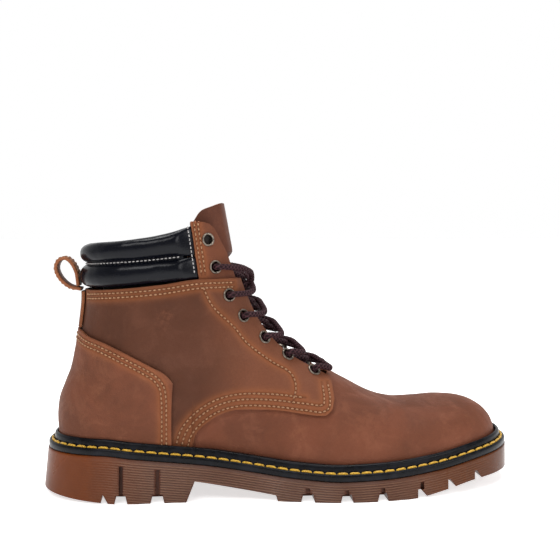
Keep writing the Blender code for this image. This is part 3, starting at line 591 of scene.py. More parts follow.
def side_line(points, side, grow, away=0.0):
    """A side-view line laid on the surface, moved in the side view to the right of its direction.
    Returns its points at even steps and the surface's normals there."""
    flat = smooth_path([np.array([x, z, 0.0]) for x, z in points], 60)[:, :2]
    along = np.gradient(flat, axis=0)
    along /= np.linalg.norm(along, axis=1, keepdims=True) + 1e-9
    x, z = (flat + away * np.stack([along[:, 1], -along[:, 0]], -1)).T
    width = half_width(x, z, side, grow)
    slope_x, slope_z = slopes(x, z, side, grow, 0.4)
    normal = np.stack([-slope_x, 0 * x + side, -slope_z], -1)
    line = np.concatenate([np.stack([x, centre_y(x) + side * width, z], -1), normal], 1)[width > 0.6]
    total = lengths(line[:, :3])
    wanted = np.arange(0, total[-1], 0.3)
    line = np.stack([np.interp(wanted, total, line[:, k]) for k in range(6)], -1)
    return line[:, :3], unit(line[:, 3:])


def stitches(name, rows, size, finish, sink=0.3, twist=2.0, dip=1.3):
    """Threads lying along the rows, each a two-ply strand whose ends go down into its holes."""
    pitch, length, radius = size
    spans = np.array([-1.0, -0.93, -0.72, -0.4, 0.0, 0.4, 0.72, 0.93, 1.0])
    girth = np.array([0.3, 0.72, 0.95, 1.0, 1.0, 1.0, 0.95, 0.72, 0.3])
    sides = 8
    turns = 2 * pi * np.arange(sides) / sides
    points, faces = [], []
    for line, normals in rows:
        total = lengths(line)
        for centre in np.arange(pitch / 2, total[-1] - pitch / 2, pitch):
            at = centre + spans * length / 2
            mid = np.stack([np.interp(at, total, line[:, k]) for k in range(3)], -1)
            out = unit(np.stack([np.interp(at, total, normals[:, k]) for k in range(3)], -1))
            across = np.cross(unit(np.gradient(mid, axis=0)), out)
            mid = mid + out * (radius * (1 - sink - dip * spans ** 4))[:, None]
            wave = 1 + 0.12 * np.cos(2 * (turns[None, :] - twist * spans[:, None]))
            cosines, sines = np.cos(turns)[None, :, None], np.sin(turns)[None, :, None]
            rim = cosines * across[:, None] + sines * out[:, None]
            loop = mid[:, None] + rim * (radius * girth[:, None] * wave)[:, :, None]
            start = len(points) * len(spans) * sides
            points.append(loop.reshape(-1, 3))
            faces += grid_faces(len(spans), sides, start, closed=True)
            last = start + (len(spans) - 1) * sides
            faces += [list(range(start, start + sides)), list(range(last, last + sides))[::-1]]
    return new_object(name, np.concatenate(points), faces, finish)


def sew(name, rows, size=LEATHER_STITCH):
    """The leather's rows, in its own thread."""
    place(stitches(name, rows, size, tan_thread), "boot", "brown_leather")


# ---------------------------------------------------------------- materials

def rgb(text):
    """A linear colour from a hex sRGB one."""
    parts = [int(text[i:i + 2], 16) / 255 for i in (0, 2, 4)]
    return (*[c / 12.92 if c <= 0.04045 else ((c + 0.055) / 1.055) ** 2.4 for c in parts], 1.0)


class Nodes:
    """Short ways to add nodes to a tree; `where` is the place on the object in metres, or the direction."""

    def __init__(self, tree, coordinates):
        self.tree = tree
        self.where = tree.nodes.new("ShaderNodeTexCoord").outputs[coordinates]

    def add(self, kind, inputs=(), **settings):
        made = self.tree.nodes.new(kind)
        for key, value in settings.items():
            setattr(made, key, value)
        for key, value in dict(inputs).items():
            if isinstance(value, bpy.types.NodeSocket):
                self.tree.links.new(value, made.inputs[key])
            else:
                made.inputs[key].default_value = value
        return made

    def axis(self, name):
        return self.add("ShaderNodeSeparateXYZ", {"Vector": self.where}).outputs[name]

    def attribute(self, name):
        return self.add("ShaderNodeAttribute", attribute_name=name).outputs["Fac"]

    def fractal(self, scale, detail=3.0, rough=0.5, bend=0.0):
        return self.add("ShaderNodeTexNoise", {"Vector": self.where, "Scale": scale, "Detail": detail,
                                               "Roughness": rough, "Distortion": bend}).outputs["Fac"]

    def cells(self, scale):
        return self.add("ShaderNodeTexVoronoi", {"Vector": self.where, "Scale": scale}).outputs["Distance"]

    def mix(self, share, *colours):
        """From one colour to another, each a hex text or a socket."""
        first, second = (rgb(c) if isinstance(c, str) else c for c in colours)
        return self.add("ShaderNodeMix", {0: share, 6: first, 7: second}, data_type="RGBA").outputs[2]

    def remap(self, value, *ends):
        """The value from one range (low, high) to another, which is 0 to 1 if left out."""
        names = ("From Min", "From Max", "To Min", "To Max")
        return self.add("ShaderNodeMapRange", {"Value": value, **dict(zip(names, ends))}).outputs[0]

    def maths(self, operation, first, second):
        return self.add("ShaderNodeMath", {0: first, 1: second}, operation=operation).outputs[0]

    def times(self, first, second):
        return self.maths("MULTIPLY", first, second)

    def bump(self, height, depth, before=None):
        under = {} if before is None else {"Normal": before}
        values = {"Height": height, "Distance": depth * MM, **under}
        return self.add("ShaderNodeBump", values).outputs["Normal"]


class Paint(Nodes):
    """A new material, with what is the same all over it set on its shader."""

    def __init__(self, name, **constants):
        self.material = bpy.data.materials.new(name)
        self.material.use_nodes = True
        super().__init__(self.material.node_tree, "Object")
        self.shader = self.tree.nodes["Principled BSDF"]
        for key, value in constants.items():
            self.shader.inputs[key.replace("_", " ")].default_value = value

    def finish(self, **sockets):
        for key, value in sockets.items():
            self.tree.links.new(value, self.shader.inputs[key.replace("_", " ")])
        return self.material


def leather(name, dark, middle, light, scuff, front=0.0):
    """Oiled nubuck: clouds of pulled-up colour, rubbed spots, fine pores, a soft nap, and painted shade in
    the grooves of the stitched rows.
    The share `front` of the scuffs' colour is added towards the lacing."""
    paint = Paint(name, Specular_IOR_Level=0.17)
    body = paint.mix(paint.remap(paint.fractal(26, 5, 0.6, 0.8), 0.22, 0.62), dark, middle)
    patches = paint.fractal(60, 6, 0.65, 0.5)
    body = paint.mix(paint.remap(patches, 0.5, 0.74, 0, 0.7), body, light)
    if front:
        body = paint.mix(paint.remap(paint.axis("X"), -0.055, -0.02, 0.0, front), body, scuff)
    speckle = paint.fractal(900, 4, 0.7)
    body = paint.mix(paint.remap(speckle, 0.3, 0.75, 0.0, 0.34), body, dark)
    spots = paint.remap(paint.fractal(38, 3, 0.5), 0.6, 0.72)
    rubbed = paint.times(spots, paint.remap(paint.fractal(420, 5, 0.8), 0.45, 0.7))
    body = paint.mix(paint.times(rubbed, 0.35), body, scuff)
    body = paint.mix(paint.times(paint.attribute("sewn"), 0.4), body, "9C5A30")
    # painted shade: darker in the groove along each stitched row
    body = paint.mix(paint.times(paint.attribute("groove"), 0.55), body, "3A1E14")
    pores = paint.bump(paint.cells(1500), 0.1)
    nap = paint.bump(speckle, 0.08, pores)
    folds = paint.bump(paint.fractal(150, 4, 0.6, 1.0), 0.22, nap)
    return paint.finish(Base_Color=body, Roughness=paint.remap(patches, 0.3, 0.7, 0.72, 0.5), Normal=folds)


def cut_edge():
    paint = Paint("raw_edge", Roughness=0.85)
    fibres = paint.fractal(1400, 4, 0.75)
    return paint.finish(Base_Color=paint.mix(fibres, "5E3320", "A8663C"), Normal=paint.bump(fibres, 0.15))


def collar_leather():
    paint = Paint("collar_leather", Specular_IOR_Level=0.19)
    gloss = paint.remap(paint.fractal(300, 4, 0.6), 0.3, 0.7, 0.2, 0.28)
    creases = paint.bump(paint.fractal(190, 4, 0.6, 1.5), 0.06, paint.bump(paint.cells(900), 0.03))
    return paint.finish(Base_Color=paint.mix(paint.fractal(45, 4, 0.6), "030409", "080A13"), Roughness=gloss,
                        Normal=creases)


def black_rubber(name):
    paint = Paint(name, Specular_IOR_Level=0.14)
    dust = paint.fractal(120, 5, 0.7)
    return paint.finish(Base_Color=paint.mix(paint.remap(dust, 0.45, 0.8), "08090D", "1B1D25"),
                        Roughness=paint.remap(dust, 0.3, 0.7, 0.22, 0.4),
                        Normal=paint.bump(paint.fractal(900, 4, 0.7), 0.05))


def gum_rubber():
    """Amber at the heel's back, browner and duller towards the ball; a little light goes into it. Its ribs'
    crests carry a painted highlight, and the faces the tread cuts leave carry painted shade.
    """
    paint = Paint("gum_rubber", Specular_IOR_Level=0.14, Subsurface_Weight=0.05, Subsurface_Scale=0.004,
                  Subsurface_Radius=(1.0, 0.45, 0.2))
    along = paint.axis("X")
    body = paint.mix(paint.remap(along, -0.125, -0.085), "69320F", "543C33")
    body = paint.mix(paint.remap(along, 0.045, 0.10), body, "52280A")
    # painted highlight: lighter on the crests of the ribs
    body = paint.mix(paint.times(paint.attribute("crest"), 0.6), body, "8A6753")
    # painted shade: darker on the faces the cuts leave, in the notches, slots, channels, arch gap and under
    # the tread
    body = paint.mix(paint.attribute("wall"), "4E2B1D", body)
    smoky = paint.fractal(40, 4, 0.55, 0.6)
    body = paint.mix(paint.remap(smoky, 0.35, 0.7, 0.0, 0.4), body, "472A1D")
    return paint.finish(Base_Color=body, Roughness=paint.remap(smoky, 0.3, 0.7, 0.22, 0.42),
                        Normal=paint.bump(paint.fractal(500, 3, 0.6), 0.04))


def thread(name, dark, light, rough=0.7):
    paint = Paint(name, Roughness=rough, Sheen_Weight=0.2)
    fibres = paint.fractal(1800, 3, 0.7, 0.5)
    return paint.finish(Base_Color=paint.mix(paint.remap(fibres, 0.35, 0.65), dark, light),
                        Normal=paint.bump(fibres, 0.08))


def lace_cloth():
    """Painted shade between the strands of the braid and a painted highlight on their tops, from the
    attribute ply, the braid's height.
    """
    paint = Paint("lace_cord", Roughness=0.6, Specular_IOR_Level=0.1)
    fibres = paint.fractal(1500, 3, 0.7, 0.4)
    # painted shade and highlight: the tone follows ply
    tone = paint.times(paint.remap(paint.attribute("ply"), 0.1, 1.0, 0.1, 1.0),
                       paint.remap(fibres, 0.25, 0.7, 0.45, 1.0))
    return paint.finish(Base_Color=paint.mix(tone, "090304", "5A3A40"), Normal=paint.bump(fibres, 0.12))


def woven(name, dark, light, pitch, axes):
    """A close plain weave: two crossed wave textures."""
    paint = Paint(name, Roughness=0.9, Sheen_Weight=0.25)
    waves = [paint.add("ShaderNodeTexWave", {"Vector": paint.where, "Scale": 0.314 / (pitch * MM),
                                             "Distortion": 0.6}, bands_direction=axis).outputs["Fac"]
             for axis in axes]
    weave = paint.times(paint.times(*waves), 0.6)
    tone = paint.maths("ADD", weave, paint.times(paint.fractal(700, 3, 0.6), 0.4))
    return paint.finish(Base_Color=paint.mix(tone, dark, light), Normal=paint.bump(tone, 0.15))


def metal(name, dark, light, rough):
    paint = Paint(name, Metallic=1.0)
    tarnish = paint.fractal(500, 5, 0.7)
    return paint.finish(Base_Color=paint.mix(paint.remap(tarnish, 0.35, 0.7), dark, light),
                        Roughness=paint.remap(tarnish, 0.3, 0.7, rough + 0.15, rough),
                        Normal=paint.bump(paint.fractal(1500, 3, 0.6), 0.03))


def granular(name, dark, light, scale, depth):
    paint = Paint(name, Roughness=0.85)
    grains = paint.cells(scale)
    return paint.finish(Base_Color=paint.mix(grains, dark, light), Normal=paint.bump(grains, depth))


brown = leather("brown_leather", "573222", "72412D", "844F38", "9A6344")
cover_brown = leather("cover_leather", "553121", "70402C", "824F36", "986241")
# The quarters' copy of the brown leather is darker than the vamp's and the cover's: painted shade of the
# shaft's middle.
shaded_shaft_brown = leather("shaft_leather", "442618", "543020", "613A29", "824E36", front=0.6)
tongue_brown = leather("tongue_leather", "44261A", "5A3223", "693E2C", "7B4F36")
tan = leather("tan_leather", "502D20", "6D3E29", "844F30", "976141")
raw_edge = cut_edge()
collar = collar_leather()
welt_rubber = black_rubber("black_rubber")
gum = gum_rubber()
tan_thread = thread("tan_thread", "7C5232", "B78A60")
yellow_thread = thread("yellow_thread", "96690A", "E6B624", 0.5)
grey_thread = thread("grey_thread", "6E6A6C", "C9C4C0")
lining = woven("lining_cloth", "15110F", "3A302B", 0.8, "XZ")
sock_cloth = woven("footbed_cloth", "202024", "4A4A50", 1.0, "XY")
eyelet_metal = metal("eyelet_metal", "463E37", "A2978A", 0.3)
steel = metal("steel", "6E7175", "B4B7BC", 0.28)
cork = granular("cork", "4A2E18", "9C6E42", 700, 0.2)
fibre = granular("fibre_board", "8A7050", "B89B72", 1800, 0.05)
foam = granular("foam", "202022", "46464A", 1400, 0.1)
tip_plastic = black_rubber("lace_tip_plastic")
lace_cord = lace_cloth()


# ---------------------------------------------------------------- camera

def make_camera():
    data = bpy.data.cameras.new("camera")
    data.sensor_width = 36.0
    data.lens = 56.46
    data.shift_y = -0.0796
    camera = bpy.data.objects.new("camera", data)
    camera.location = (-0.06243, -0.58434, 0.163)
    camera.rotation_euler = (pi / 2, 0.0, radians(-6.0))
    bpy.context.scene.collection.objects.link(camera)
    bpy.context.scene.camera = camera


make_camera()


# ---------------------------------------------------------------- lace

def transported(line):
    """Two directions across the line at each point, carried along it without twisting."""
    tangents = unit(np.gradient(line, axis=0))
    first = np.cross(tangents[0], [0.3, 0.2, 0.9])
    across = []
    for tangent in tangents:
        first = unit(first - tangent * (first @ tangent))
        across.append(first)
    across = np.array(across)
    return across, np.cross(tangents, across)


def braided(name, path, radius, finish):
    """A round braid: two sets of strands that wind opposite ways, over and under each other."""
    sides, step, lead, strands = 28, 0.45, 11.0, 4
    line = resample(path, int(lengths(path)[-1] / step))
    across, up = transported(line)
    turns = 2 * pi * np.arange(sides)[None, :] / sides
    along = (np.arange(len(line)) * step * 2 * pi / lead)[:, None]
    left, right = np.cos(strands * (turns + along)), np.cos(strands * (turns - along))
    over = 0.5 + 0.5 * np.tanh(3 * np.cos(strands * along + 0 * turns))
    height = np.where(over > 0.5, np.maximum(left, right - 0.4), np.maximum(right, left - 0.4))
    reach = radius * (0.86 + 0.14 * height)
    loops = line[:, None] + reach[..., None] * (np.cos(turns)[..., None] * across[:, None]
                                                + np.sin(turns)[..., None] * up[:, None])
    made = tube(name, loops, finish, flip=True)
    # ply, the strands' height, sets the lace's painted shade and highlight
    mark_points(made, "ply", height)
    return made, line


def make_lace():
    route = smooth_path(lace_points(), 8)
    lace, line = braided("lace_braid", route, LACE_RADIUS, lace_cord)
    place(lace, "boot", "lace_cord", "lace")


make_lace()


# ---------------------------------------------------------------- leathers

def both_sides(stations, grow, low, high, count):
    return [(side, columns(stations, side, grow, low, high, count, lambda z: 0.0)) for side in SIDES]


def rows_on(line, grow, distances, sides=SIDES):
    return [side_line(line, side, grow, away) for side in sides for away in distances]


def make_vamp():
    stations = spread(VAMP_REAR, 24, 100) + toe_spread(25.5, 110)
    low, high = upper_foot, curve(VAMP_TOP)
    vamp = panel("vamp_leather", both_sides(stations, VAMP[0], low, high, 80), VAMP[1], brown)
    place(vamp, "boot", "brown_leather", "vamp")


def make_quarters():
    top = curve(TOP_EDGE)
    stations = spread(HEEL_X, -61.2, 100, 1.4) + spread(-60.2, QUARTER_FRONT, 100)
    for side, word in NAMED_SIDES:
        grid = columns(stations, side, QUARTER[0], quarter_low, top, 104, throat_half)
        grid[0, :, 1] = side * 0.15
        rows = rows_on(TOP_EDGE[1:-1] + [(-33, 136)], QUARTER[0], (2.7, 5.5), (side,))
        rows += rows_on(LOWER_ROW, QUARTER[0], (-2.2, -6.0), (side,))
        rows += rows_on(LOWER_ROW[:7], QUARTER[0], (-9.5,), (side,))
        rows += rows_on(EYESTAY_ROW, QUARTER[0], (0.0,), (side,))
        holes = [eyelet(number, side) for number in range(FACING_EYELETS, len(EYELETS))]
        quarter = panel(f"quarter_leather_{word}", [(side, grid)], QUARTER[1], shaded_shaft_brown, rows, holes)
        place(quarter, "boot", "brown_leather", f"quarter_{word}")
        sew(f"quarter_stitches_{word}", rows)


def make_heel_cover():
    rows = rows_on(COVER_ROW, HEEL_COVER[0], (3.0, 5.8))
    stations = spread(HEEL_X, COVER_FRONT, 90, 1.4)
    grids = both_sides(stations, HEEL_COVER[0], upper_foot, curve(COVER_EDGE), 84)
    cover = panel("heel_cover_leather", grids, HEEL_COVER[1], cover_brown, rows)
    place(cover, "boot", "brown_leather", "heel_cover")
    sew("heel_cover_stitches", rows)


def make_backstay():
    stations = np.linspace(0.0, 0.0062, 9)
    grids = both_sides(stations, HEEL_COVER[0], lambda x: 104.6, lambda x: 127.2, 30)
    place(panel("backstay_strip", grids, HEEL_COVER[1], tan, bevel=0.3), "boot", "brown_leather", "backstay")


def front_row(z, side, grow, first, count, short=0.0):
    """Points of the horizontal section from x first forwards to this much short of the throat."""
    near, far = first, float(front_reach(z, grow))
    for _ in range(40):
        middle = (near + far) / 2
        if half_width(middle, z, side, grow) > throat_half(z):
            near = middle
        else:
            far = middle
    x = first + (near - short - first) * np.sin(np.linspace(0, pi / 2, 80))
    y = centre_y(x) + side * half_width(x, z, side, grow)
    return resample(np.stack([x, y, 0 * x + z], -1), count)


def facing_rear(z):
    return FACING_REAR + 6.0 * (FACING_TOP - z) / (FACING_TOP - FACING_BOTTOM)


def facing_grid(side, grow, low, high, corner):
    """From the collar to the throat, its upper front corner rounded."""
    rows = []
    for z in np.linspace(low, high, 46):
        over = max(0.0, z - high + corner)
        short = corner - sqrt(corner ** 2 - over ** 2)
        rows.append(front_row(z, side, grow, facing_rear(z), 30, short))
    return np.array(rows).transpose(1, 0, 2)


def make_facings():
    rear = [(facing_rear(z), z) for z in (170.6, 160.0, 149.0, 137.6)]
    for side, word in NAMED_SIDES:
        grid = facing_grid(side, VAMP[0], FACING_BOTTOM, FACING_TOP, 5.0)
        rows = rows_on(rear, VAMP[0], (-1.8, -4.2), (side,))
        holes = [eyelet(number, side) for number in range(FACING_EYELETS)]
        facing = panel(f"facing_leather_{word}", [(side, grid)], VAMP[1], tan, rows, holes)
        place(facing, "boot", "brown_leather", f"facing_{word}")
        backing = facing_grid(side, FACING_LINING[0], 151.0, FACING_TOP - 1.0, 5.0)
        sheet = panel(f"facing_lining_{word}", [(side, backing)], FACING_LINING[1], lining, bevel=0.2)
        place(sheet, "boot", "lining_cloth")
        sew(f"facing_stitches_{word}", rows, FACING_STITCH)


def ridge_row(z, side, level, half, count):
    """Points of the horizontal section from the ridge backwards over an arc of this length."""
    row = []
    for part in np.linspace(0, 1, count):
        grow = round(level + (TONGUE_EDGE_LEVEL - level) * float(smoothstep(half * part, 14.0, 31.0)), 2)
        x = float(front_reach(z, grow)) - 70.0 * (1 - np.cos(np.linspace(0, pi / 2, 160)))
        y = half_width(x, z, side, grow)
        y[0] = 0.0
        along = lengths(np.stack([x, y], -1))
        row.append([np.interp(half * part, along, x), np.interp(half * part, along, y) * side, z])
    row = np.array(row)
    row[:, 1] += centre_y(row[:, 0])
    return row


def make_tongue():
    """One leather from the vamp to its tip; its free top is shaped bent back."""
    half, level = curve(TONGUE_HALF), curve(TONGUE_LEVEL)
    heights = np.concatenate([np.linspace(TONGUE_BOTTOM, 172, 90), np.linspace(172.8, TONGUE_TIP, 24)])
    grids = []
    for side in SIDES:
        rows = [ridge_row(z, side, float(level(z)), float(half(z)), 30) for z in heights]
        grids.append((side, np.array(rows).transpose(1, 0, 2)[::-1]))
    tongue = panel("tongue_leather", grids, TONGUE_THICKNESS, tongue_brown, bevel=0.7)
    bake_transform(tongue)
    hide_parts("tongue", "tongue_top")


make_vamp()
make_quarters()
make_heel_cover()
make_backstay()
make_facings()
make_tongue()


# ---------------------------------------------------------------- collar

def smoothed(move, pinned, rounds=10):
    """The movements of a tube's points (loops by sides) evened out; held points stay."""
    for _ in range(rounds):
        around = np.roll(move, 1, axis=1) + np.roll(move, -1, axis=1)
        along = np.concatenate([move[:1], move[:-1]]) + np.concatenate([move[1:], move[-1:]])
        move = (2 * move + around + along) / 6
        move[pinned] = 0.0
    return move


def inflate(obj, pinned, pressure, cap):
    """Cloth simulation of a stuffed tube held along its seams, ten times enlarged.
    No point moves further than cap."""
    scale = 10.0
    mesh = obj.data
    before = np.array([v.co for v in mesh.vertices])
    mesh.vertices.foreach_set("co", (before * scale).astype(np.float32).ravel())
    group = obj.vertex_groups.new(name="held")
    group.add([int(i) for i in np.flatnonzero(pinned.ravel())], 1.0, "REPLACE")
    cloth = obj.modifiers.new("cloth", "CLOTH")
    settings = cloth.settings
    settings.vertex_group_mass = "held"
    settings.use_pressure = True
    settings.uniform_pressure_force = pressure
    settings.effector_weights.gravity = 0.0
    settings.quality = 5
    settings.bending_stiffness = 0.3
    settings.shrink_min = -0.05
    cloth.point_cache.frame_start, cloth.point_cache.frame_end = 1, 20
    scene = bpy.context.scene
    for number in range(1, 21):
        scene.frame_set(number)
    apply_modifiers(obj)
    scene.frame_set(1)
    after = np.array([v.co for v in obj.data.vertices]) / scale
    move = smoothed((after - before).reshape(*pinned.shape, 3), pinned).reshape(-1, 3)
    size = np.linalg.norm(move, axis=1, keepdims=True)
    move *= np.minimum(1.0, cap * MM / np.maximum(size, 1e-9))
    obj.data.vertices.foreach_set("co", (before + move).astype(np.float32).ravel())
    obj.data.update()


def roll_ring(side, share, low, high, across, up):
    """The points round a roll at this share of the way from the back to its front end."""
    u = station(HEEL_X + (ROLL_FRONT - HEEL_X) * share)
    x = wall_x(u, 150.0, 0.0)
    bottom, top = float(low(x)) + ROLL_SLACK, float(high(x)) - ROLL_SLACK
    thin = 1 - smoothstep(share, 0.9, 1.0)
    outer = ROLL_END_OUTER + (ROLL_OUTER - ROLL_SKIN - ROLL_END_OUTER) * thin
    inner = ROLL_END_INNER + (ROLL_INNER + ROLL_SKIN - ROLL_END_INNER) * thin
    z = (bottom + top) / 2 + (top - bottom) / 2 * np.sign(up) * np.abs(up) ** 0.8
    grow = (outer + inner) / 2 + (outer - inner) / 2 * np.sign(across) * np.abs(across) ** 0.8
    reach = (facing_rear(z) - 0.2 - ROLL_FRONT) * share ** 5
    return [surface(u + shift / (TOE_X - HEEL_X), height, side, round(float(g), 2))
            for height, g, shift in zip(z, grow, reach)]


def roll(name, low, high, seam_up):
    """A stuffed roll round the back of the shaft; its ends flatten where the facings take them in."""
    sides, steps = 30, 96
    shares = np.linspace(0, 1, steps) ** 1.35
    turns = 2 * pi * np.arange(sides) / sides
    across, up = np.cos(turns), np.sin(turns)
    seam = up > 0.93 if seam_up else up < -0.93
    rings = [(LATERAL, share) for share in shares[::-1]] + [(MEDIAL, share) for share in shares[1:]]
    loops = [roll_ring(side, share, low, high, across, up) for side, share in rings]
    held = [(across < -0.1) | seam | (share > 0.93) for _, share in rings]
    made = tube(name, np.array(loops), collar)
    face_outward(made)
    inflate(made, np.array(held), 4.0, 1.1)
    smooth = made.modifiers.new("smooth", "SUBSURF")
    smooth.levels = smooth.render_levels = 1
    apply_modifiers(made)
    made.data.shade_smooth()
    return made


def make_collar():
    seam_z = curve(ROLL_SEAM)
    upper = roll("collar_pad_upper", seam_z, curve(ROLL_TOP), seam_up=False)
    lower = roll("collar_pad_lower", curve(ROLL_BOTTOM), seam_z, seam_up=True)
    for pad, solid in ((upper, "collar_roll_upper"), (lower, "collar_roll_lower")):
        place(pad, "boot", "collar_leather", solid)
    seam = [(x, float(seam_z(x))) for x in (-128.4, -127.6, -120, -105, -90, -78, -66)]
    strip = [curve([(x, z + shift) for x, z in ROLL_SEAM]) for shift in (-1.3, 1.3)]
    grids = both_sides(spread(HEEL_X, ROLL_FRONT, 60, 1.4), SEAM_TAPE[0], *strip, 5)
    tape = panel("collar_seam_tape", grids, SEAM_TAPE[1], collar, bevel=0.2)
    tape.data.materials[1] = collar
    place(tape, "boot", "collar_leather")
    rows = rows_on(seam, 3.5, (0.0,))
    front = [(facing_rear(z) - 2.4, z) for z in (169.0, 160.0, 149.0, 139.0)]
    rows += rows_on(front, 2.6, (0.0,))
    place(stitches("collar_stitches", rows, COLLAR_STITCH, grey_thread), "boot", "collar_leather")


def sleeve_grid(side):
    """The shaft's lining: from the foot up, standing further in behind the collar."""
    low, high = curve([(x, 112.0) for x, _ in ROLL_BOTTOM]), curve([(x, z - 4.0) for x, z in ROLL_TOP])
    stations = spread(HEEL_X, COVER_FRONT, 60, 1.5)
    near, deep = (columns(stations, side, grow, low, high, 44) for grow in (SLEEVE_LOW, SLEEVE_HIGH))
    share = smoothstep(near[..., 2], 113.0, 130.0)[..., None]
    return near * (1 - share) + deep * share


def make_linings():
    sleeves = [(side, sleeve_grid(side)) for side in SIDES]
    sleeve = panel("collar_lining_cloth", sleeves, SLEEVE_THICKNESS, lining, bevel=0.3)
    place(sleeve, "boot", "lining_cloth", "collar_lining")
    top = curve([(-140, 126.4), (-126, 126.6), (-80, 130.4), (-58, 133), (-54, 131.5), (-46, 116),
                 (-36, 102), (-20, 87.5), (-6, 77), (10, 66)])
    grids = both_sides(spread(HEEL_X, 10, 110, 1.3), QUARTER_LINING[0], upper_foot, top, 60)
    sheet = panel("quarter_lining_cloth", grids, QUARTER_LINING[1], lining, bevel=0.3)
    place(sheet, "boot", "lining_cloth", "quarter_lining")


make_collar()
make_linings()


# ---------------------------------------------------------------- eyelets and pull loop

def make_eyelets():
    """Rolled flanges turned round their own axes."""
    half = 1.2
    hole, flange = EYELET_HOLE, EYELET_FLANGE
    profile = [(hole, -half), (EYELET_BARREL, -half), (EYELET_BARREL, half), (flange - 0.05, half - 0.1),
               (flange, half + 0.2), (flange - 0.15, half + 0.5), (flange - 0.5, half + 0.75),
               (flange - 0.9, half + 0.72), (hole + 0.1, half + 0.3), (hole, half - 0.3)]
    sides, count = 36, len(profile)
    points, faces = [], []
    for number in range(len(EYELETS)):
        for side in SIDES:
            centre, normal = eyelet(number, side)
            turn = normal.to_track_quat("Z", "Y")
            ring = grid_faces(sides + 1, count, closed=True)
            faces += [tuple(v % (sides * count) + len(points) for v in face) for face in ring]
            for angle in 2 * pi * np.arange(sides) / sides:
                points += [centre + turn @ Vector((r * cos(angle), r * sin(angle), h)) for r, h in profile]
    made = new_object("eyelet_rings", points, faces, eyelet_metal)
    made.data.set_sharp_from_angle(angle=radians(50))
    names = [f"eyelet_{word}_{number + 1}" for number in range(len(EYELETS)) for _, word in NAMED_SIDES]
    place(made, "boot", "eyelet_metal", *names)


def make_pull_loop():
    line = resample(smooth_path([np.array([x, 0.0, z]) for x, z in LOOP_LINE], 9), 90)
    tangent = unit(np.gradient(line, axis=0))
    normal = np.stack([-tangent[:, 2], 0 * tangent[:, 1], tangent[:, 0]], -1)
    reach, thick = LOOP_WIDTH / 2, LOOP_THICKNESS / 2
    soft = 0.5
    section = [(-reach + soft, -thick), (0, -thick - 0.05), (reach - soft, -thick), (reach, -thick + soft),
               (reach, thick - soft), (reach - soft, thick), (0, thick + 0.1), (-reach + soft, thick),
               (-reach, thick - soft), (-reach, -thick + soft)]
    across = np.array([0.0, 1.0, 0.0])
    loops = np.array([[p + across * y + n * h for y, h in section] for p, n in zip(line, normal)])
    strap = tube("pull_strap", loops, tan, raw_edge)
    face_outward(strap)
    for face in strap.data.polygons:
        if abs(face.normal.y) > 0.6:
            face.material_index = 1
    place(strap, "pull_loop", "tan_leather", "pull_loop")
    facing_out = normal * np.sign(np.sum(normal * (line - line.mean(0)), axis=1).mean())
    rows = [((line + across * y + facing_out * thick)[6:-8], facing_out[6:-8]) for y in (-5.4, 5.4)]
    place(stitches("pull_strap_stitches", rows, LOOP_STITCH, tan_thread), "pull_loop", "tan_leather")


make_eyelets()
make_pull_loop()


# ---------------------------------------------------------------- bottom

RIM = 260  # outline points per side


def outward(rim, inner):
    return unit((rim - inner) * np.array([1.0, 1.0, 0.0]))


def welt_inner(x):
    drop = WELT_INNER_HEEL - WELT_INNER_FRONT
    return WELT_INNER_HEEL - drop * smoothstep(x, WELT_STEP_FROM, WELT_STEP_TO)


def make_welt():
    """A ledge with a sunk channel for the stitching, and a rounded bead against the leather."""
    inner = outline(welt_inner, RIM)
    edge = outline(lambda x: sole_edge(x) - 0.4, RIM)
    bead = outline(lambda x: np.maximum(sole_edge(x) - BEAD_INSET, welt_inner(x) + 1.6), RIM)
    away = outward(edge, bead)
    ledge, top = LEDGE_HEIGHT - 0.7, BEAD_HEIGHT
    section = [(inner, 0.0, 0.0), (edge, -0.4, 0.0), (edge, 0.0, 0.5), (edge, 0.0, ledge - 1.5),
               (edge, -0.25, ledge - 0.8), (edge, -0.9, ledge - 0.35), (edge, -1.4, ledge - 0.45),
               (edge, -1.6, ledge - 0.95), (bead, 0.5, ledge - 0.85), (bead, 0.15, ledge - 0.2),
               (bead, 0.1, ledge + 0.6), (bead, 0.0, top - 1.7), (bead, -0.3, top - 0.9),
               (bead, -0.9, top - 0.35), (bead, -1.6, top - 0.2), (inner, 0.5, top - 0.3),
               (inner, 0.0, top - 1.0)]
    loops = []
    for rim, shift, height in section:
        points = rim + away * shift
        points[:, 2] = sole_top(rim[:, 0]) + WELT_BASE + height
        loops.append(points)
    points = np.array(loops).transpose(1, 0, 2)
    points = np.concatenate([points, points[:1]])
    faces = grid_faces(len(points), len(section), closed=True)
    welt = new_object("welt_strip", points.reshape(-1, 3), faces, welt_rubber)
    weld(welt, 0.005)
    face_outward(welt)
    welt.data.set_sharp_from_angle(angle=radians(60))
    place(welt, "boot", "black_rubber", "welt")
    channel = (edge - away * 1.6 + bead + away * 0.5) / 2
    channel[:, 2] = sole_top(channel[:, 0]) + WELT_BASE + ledge - 0.75
    line = np.concatenate([channel, channel[:1]])
    line = resample(line, int(lengths(line)[-1] / 0.4))
    tilt = np.stack([line[:, 0] * 0, np.sign(line[:, 1]) * 0.25, 1 + line[:, 0] * 0], -1)
    sewn = stitches("welt_stitches", [(line, unit(tilt))], WELT_STITCH, yellow_thread, sink=0.1, twist=4.0,
                    dip=0.7)
    place(sewn, "boot", "black_rubber")


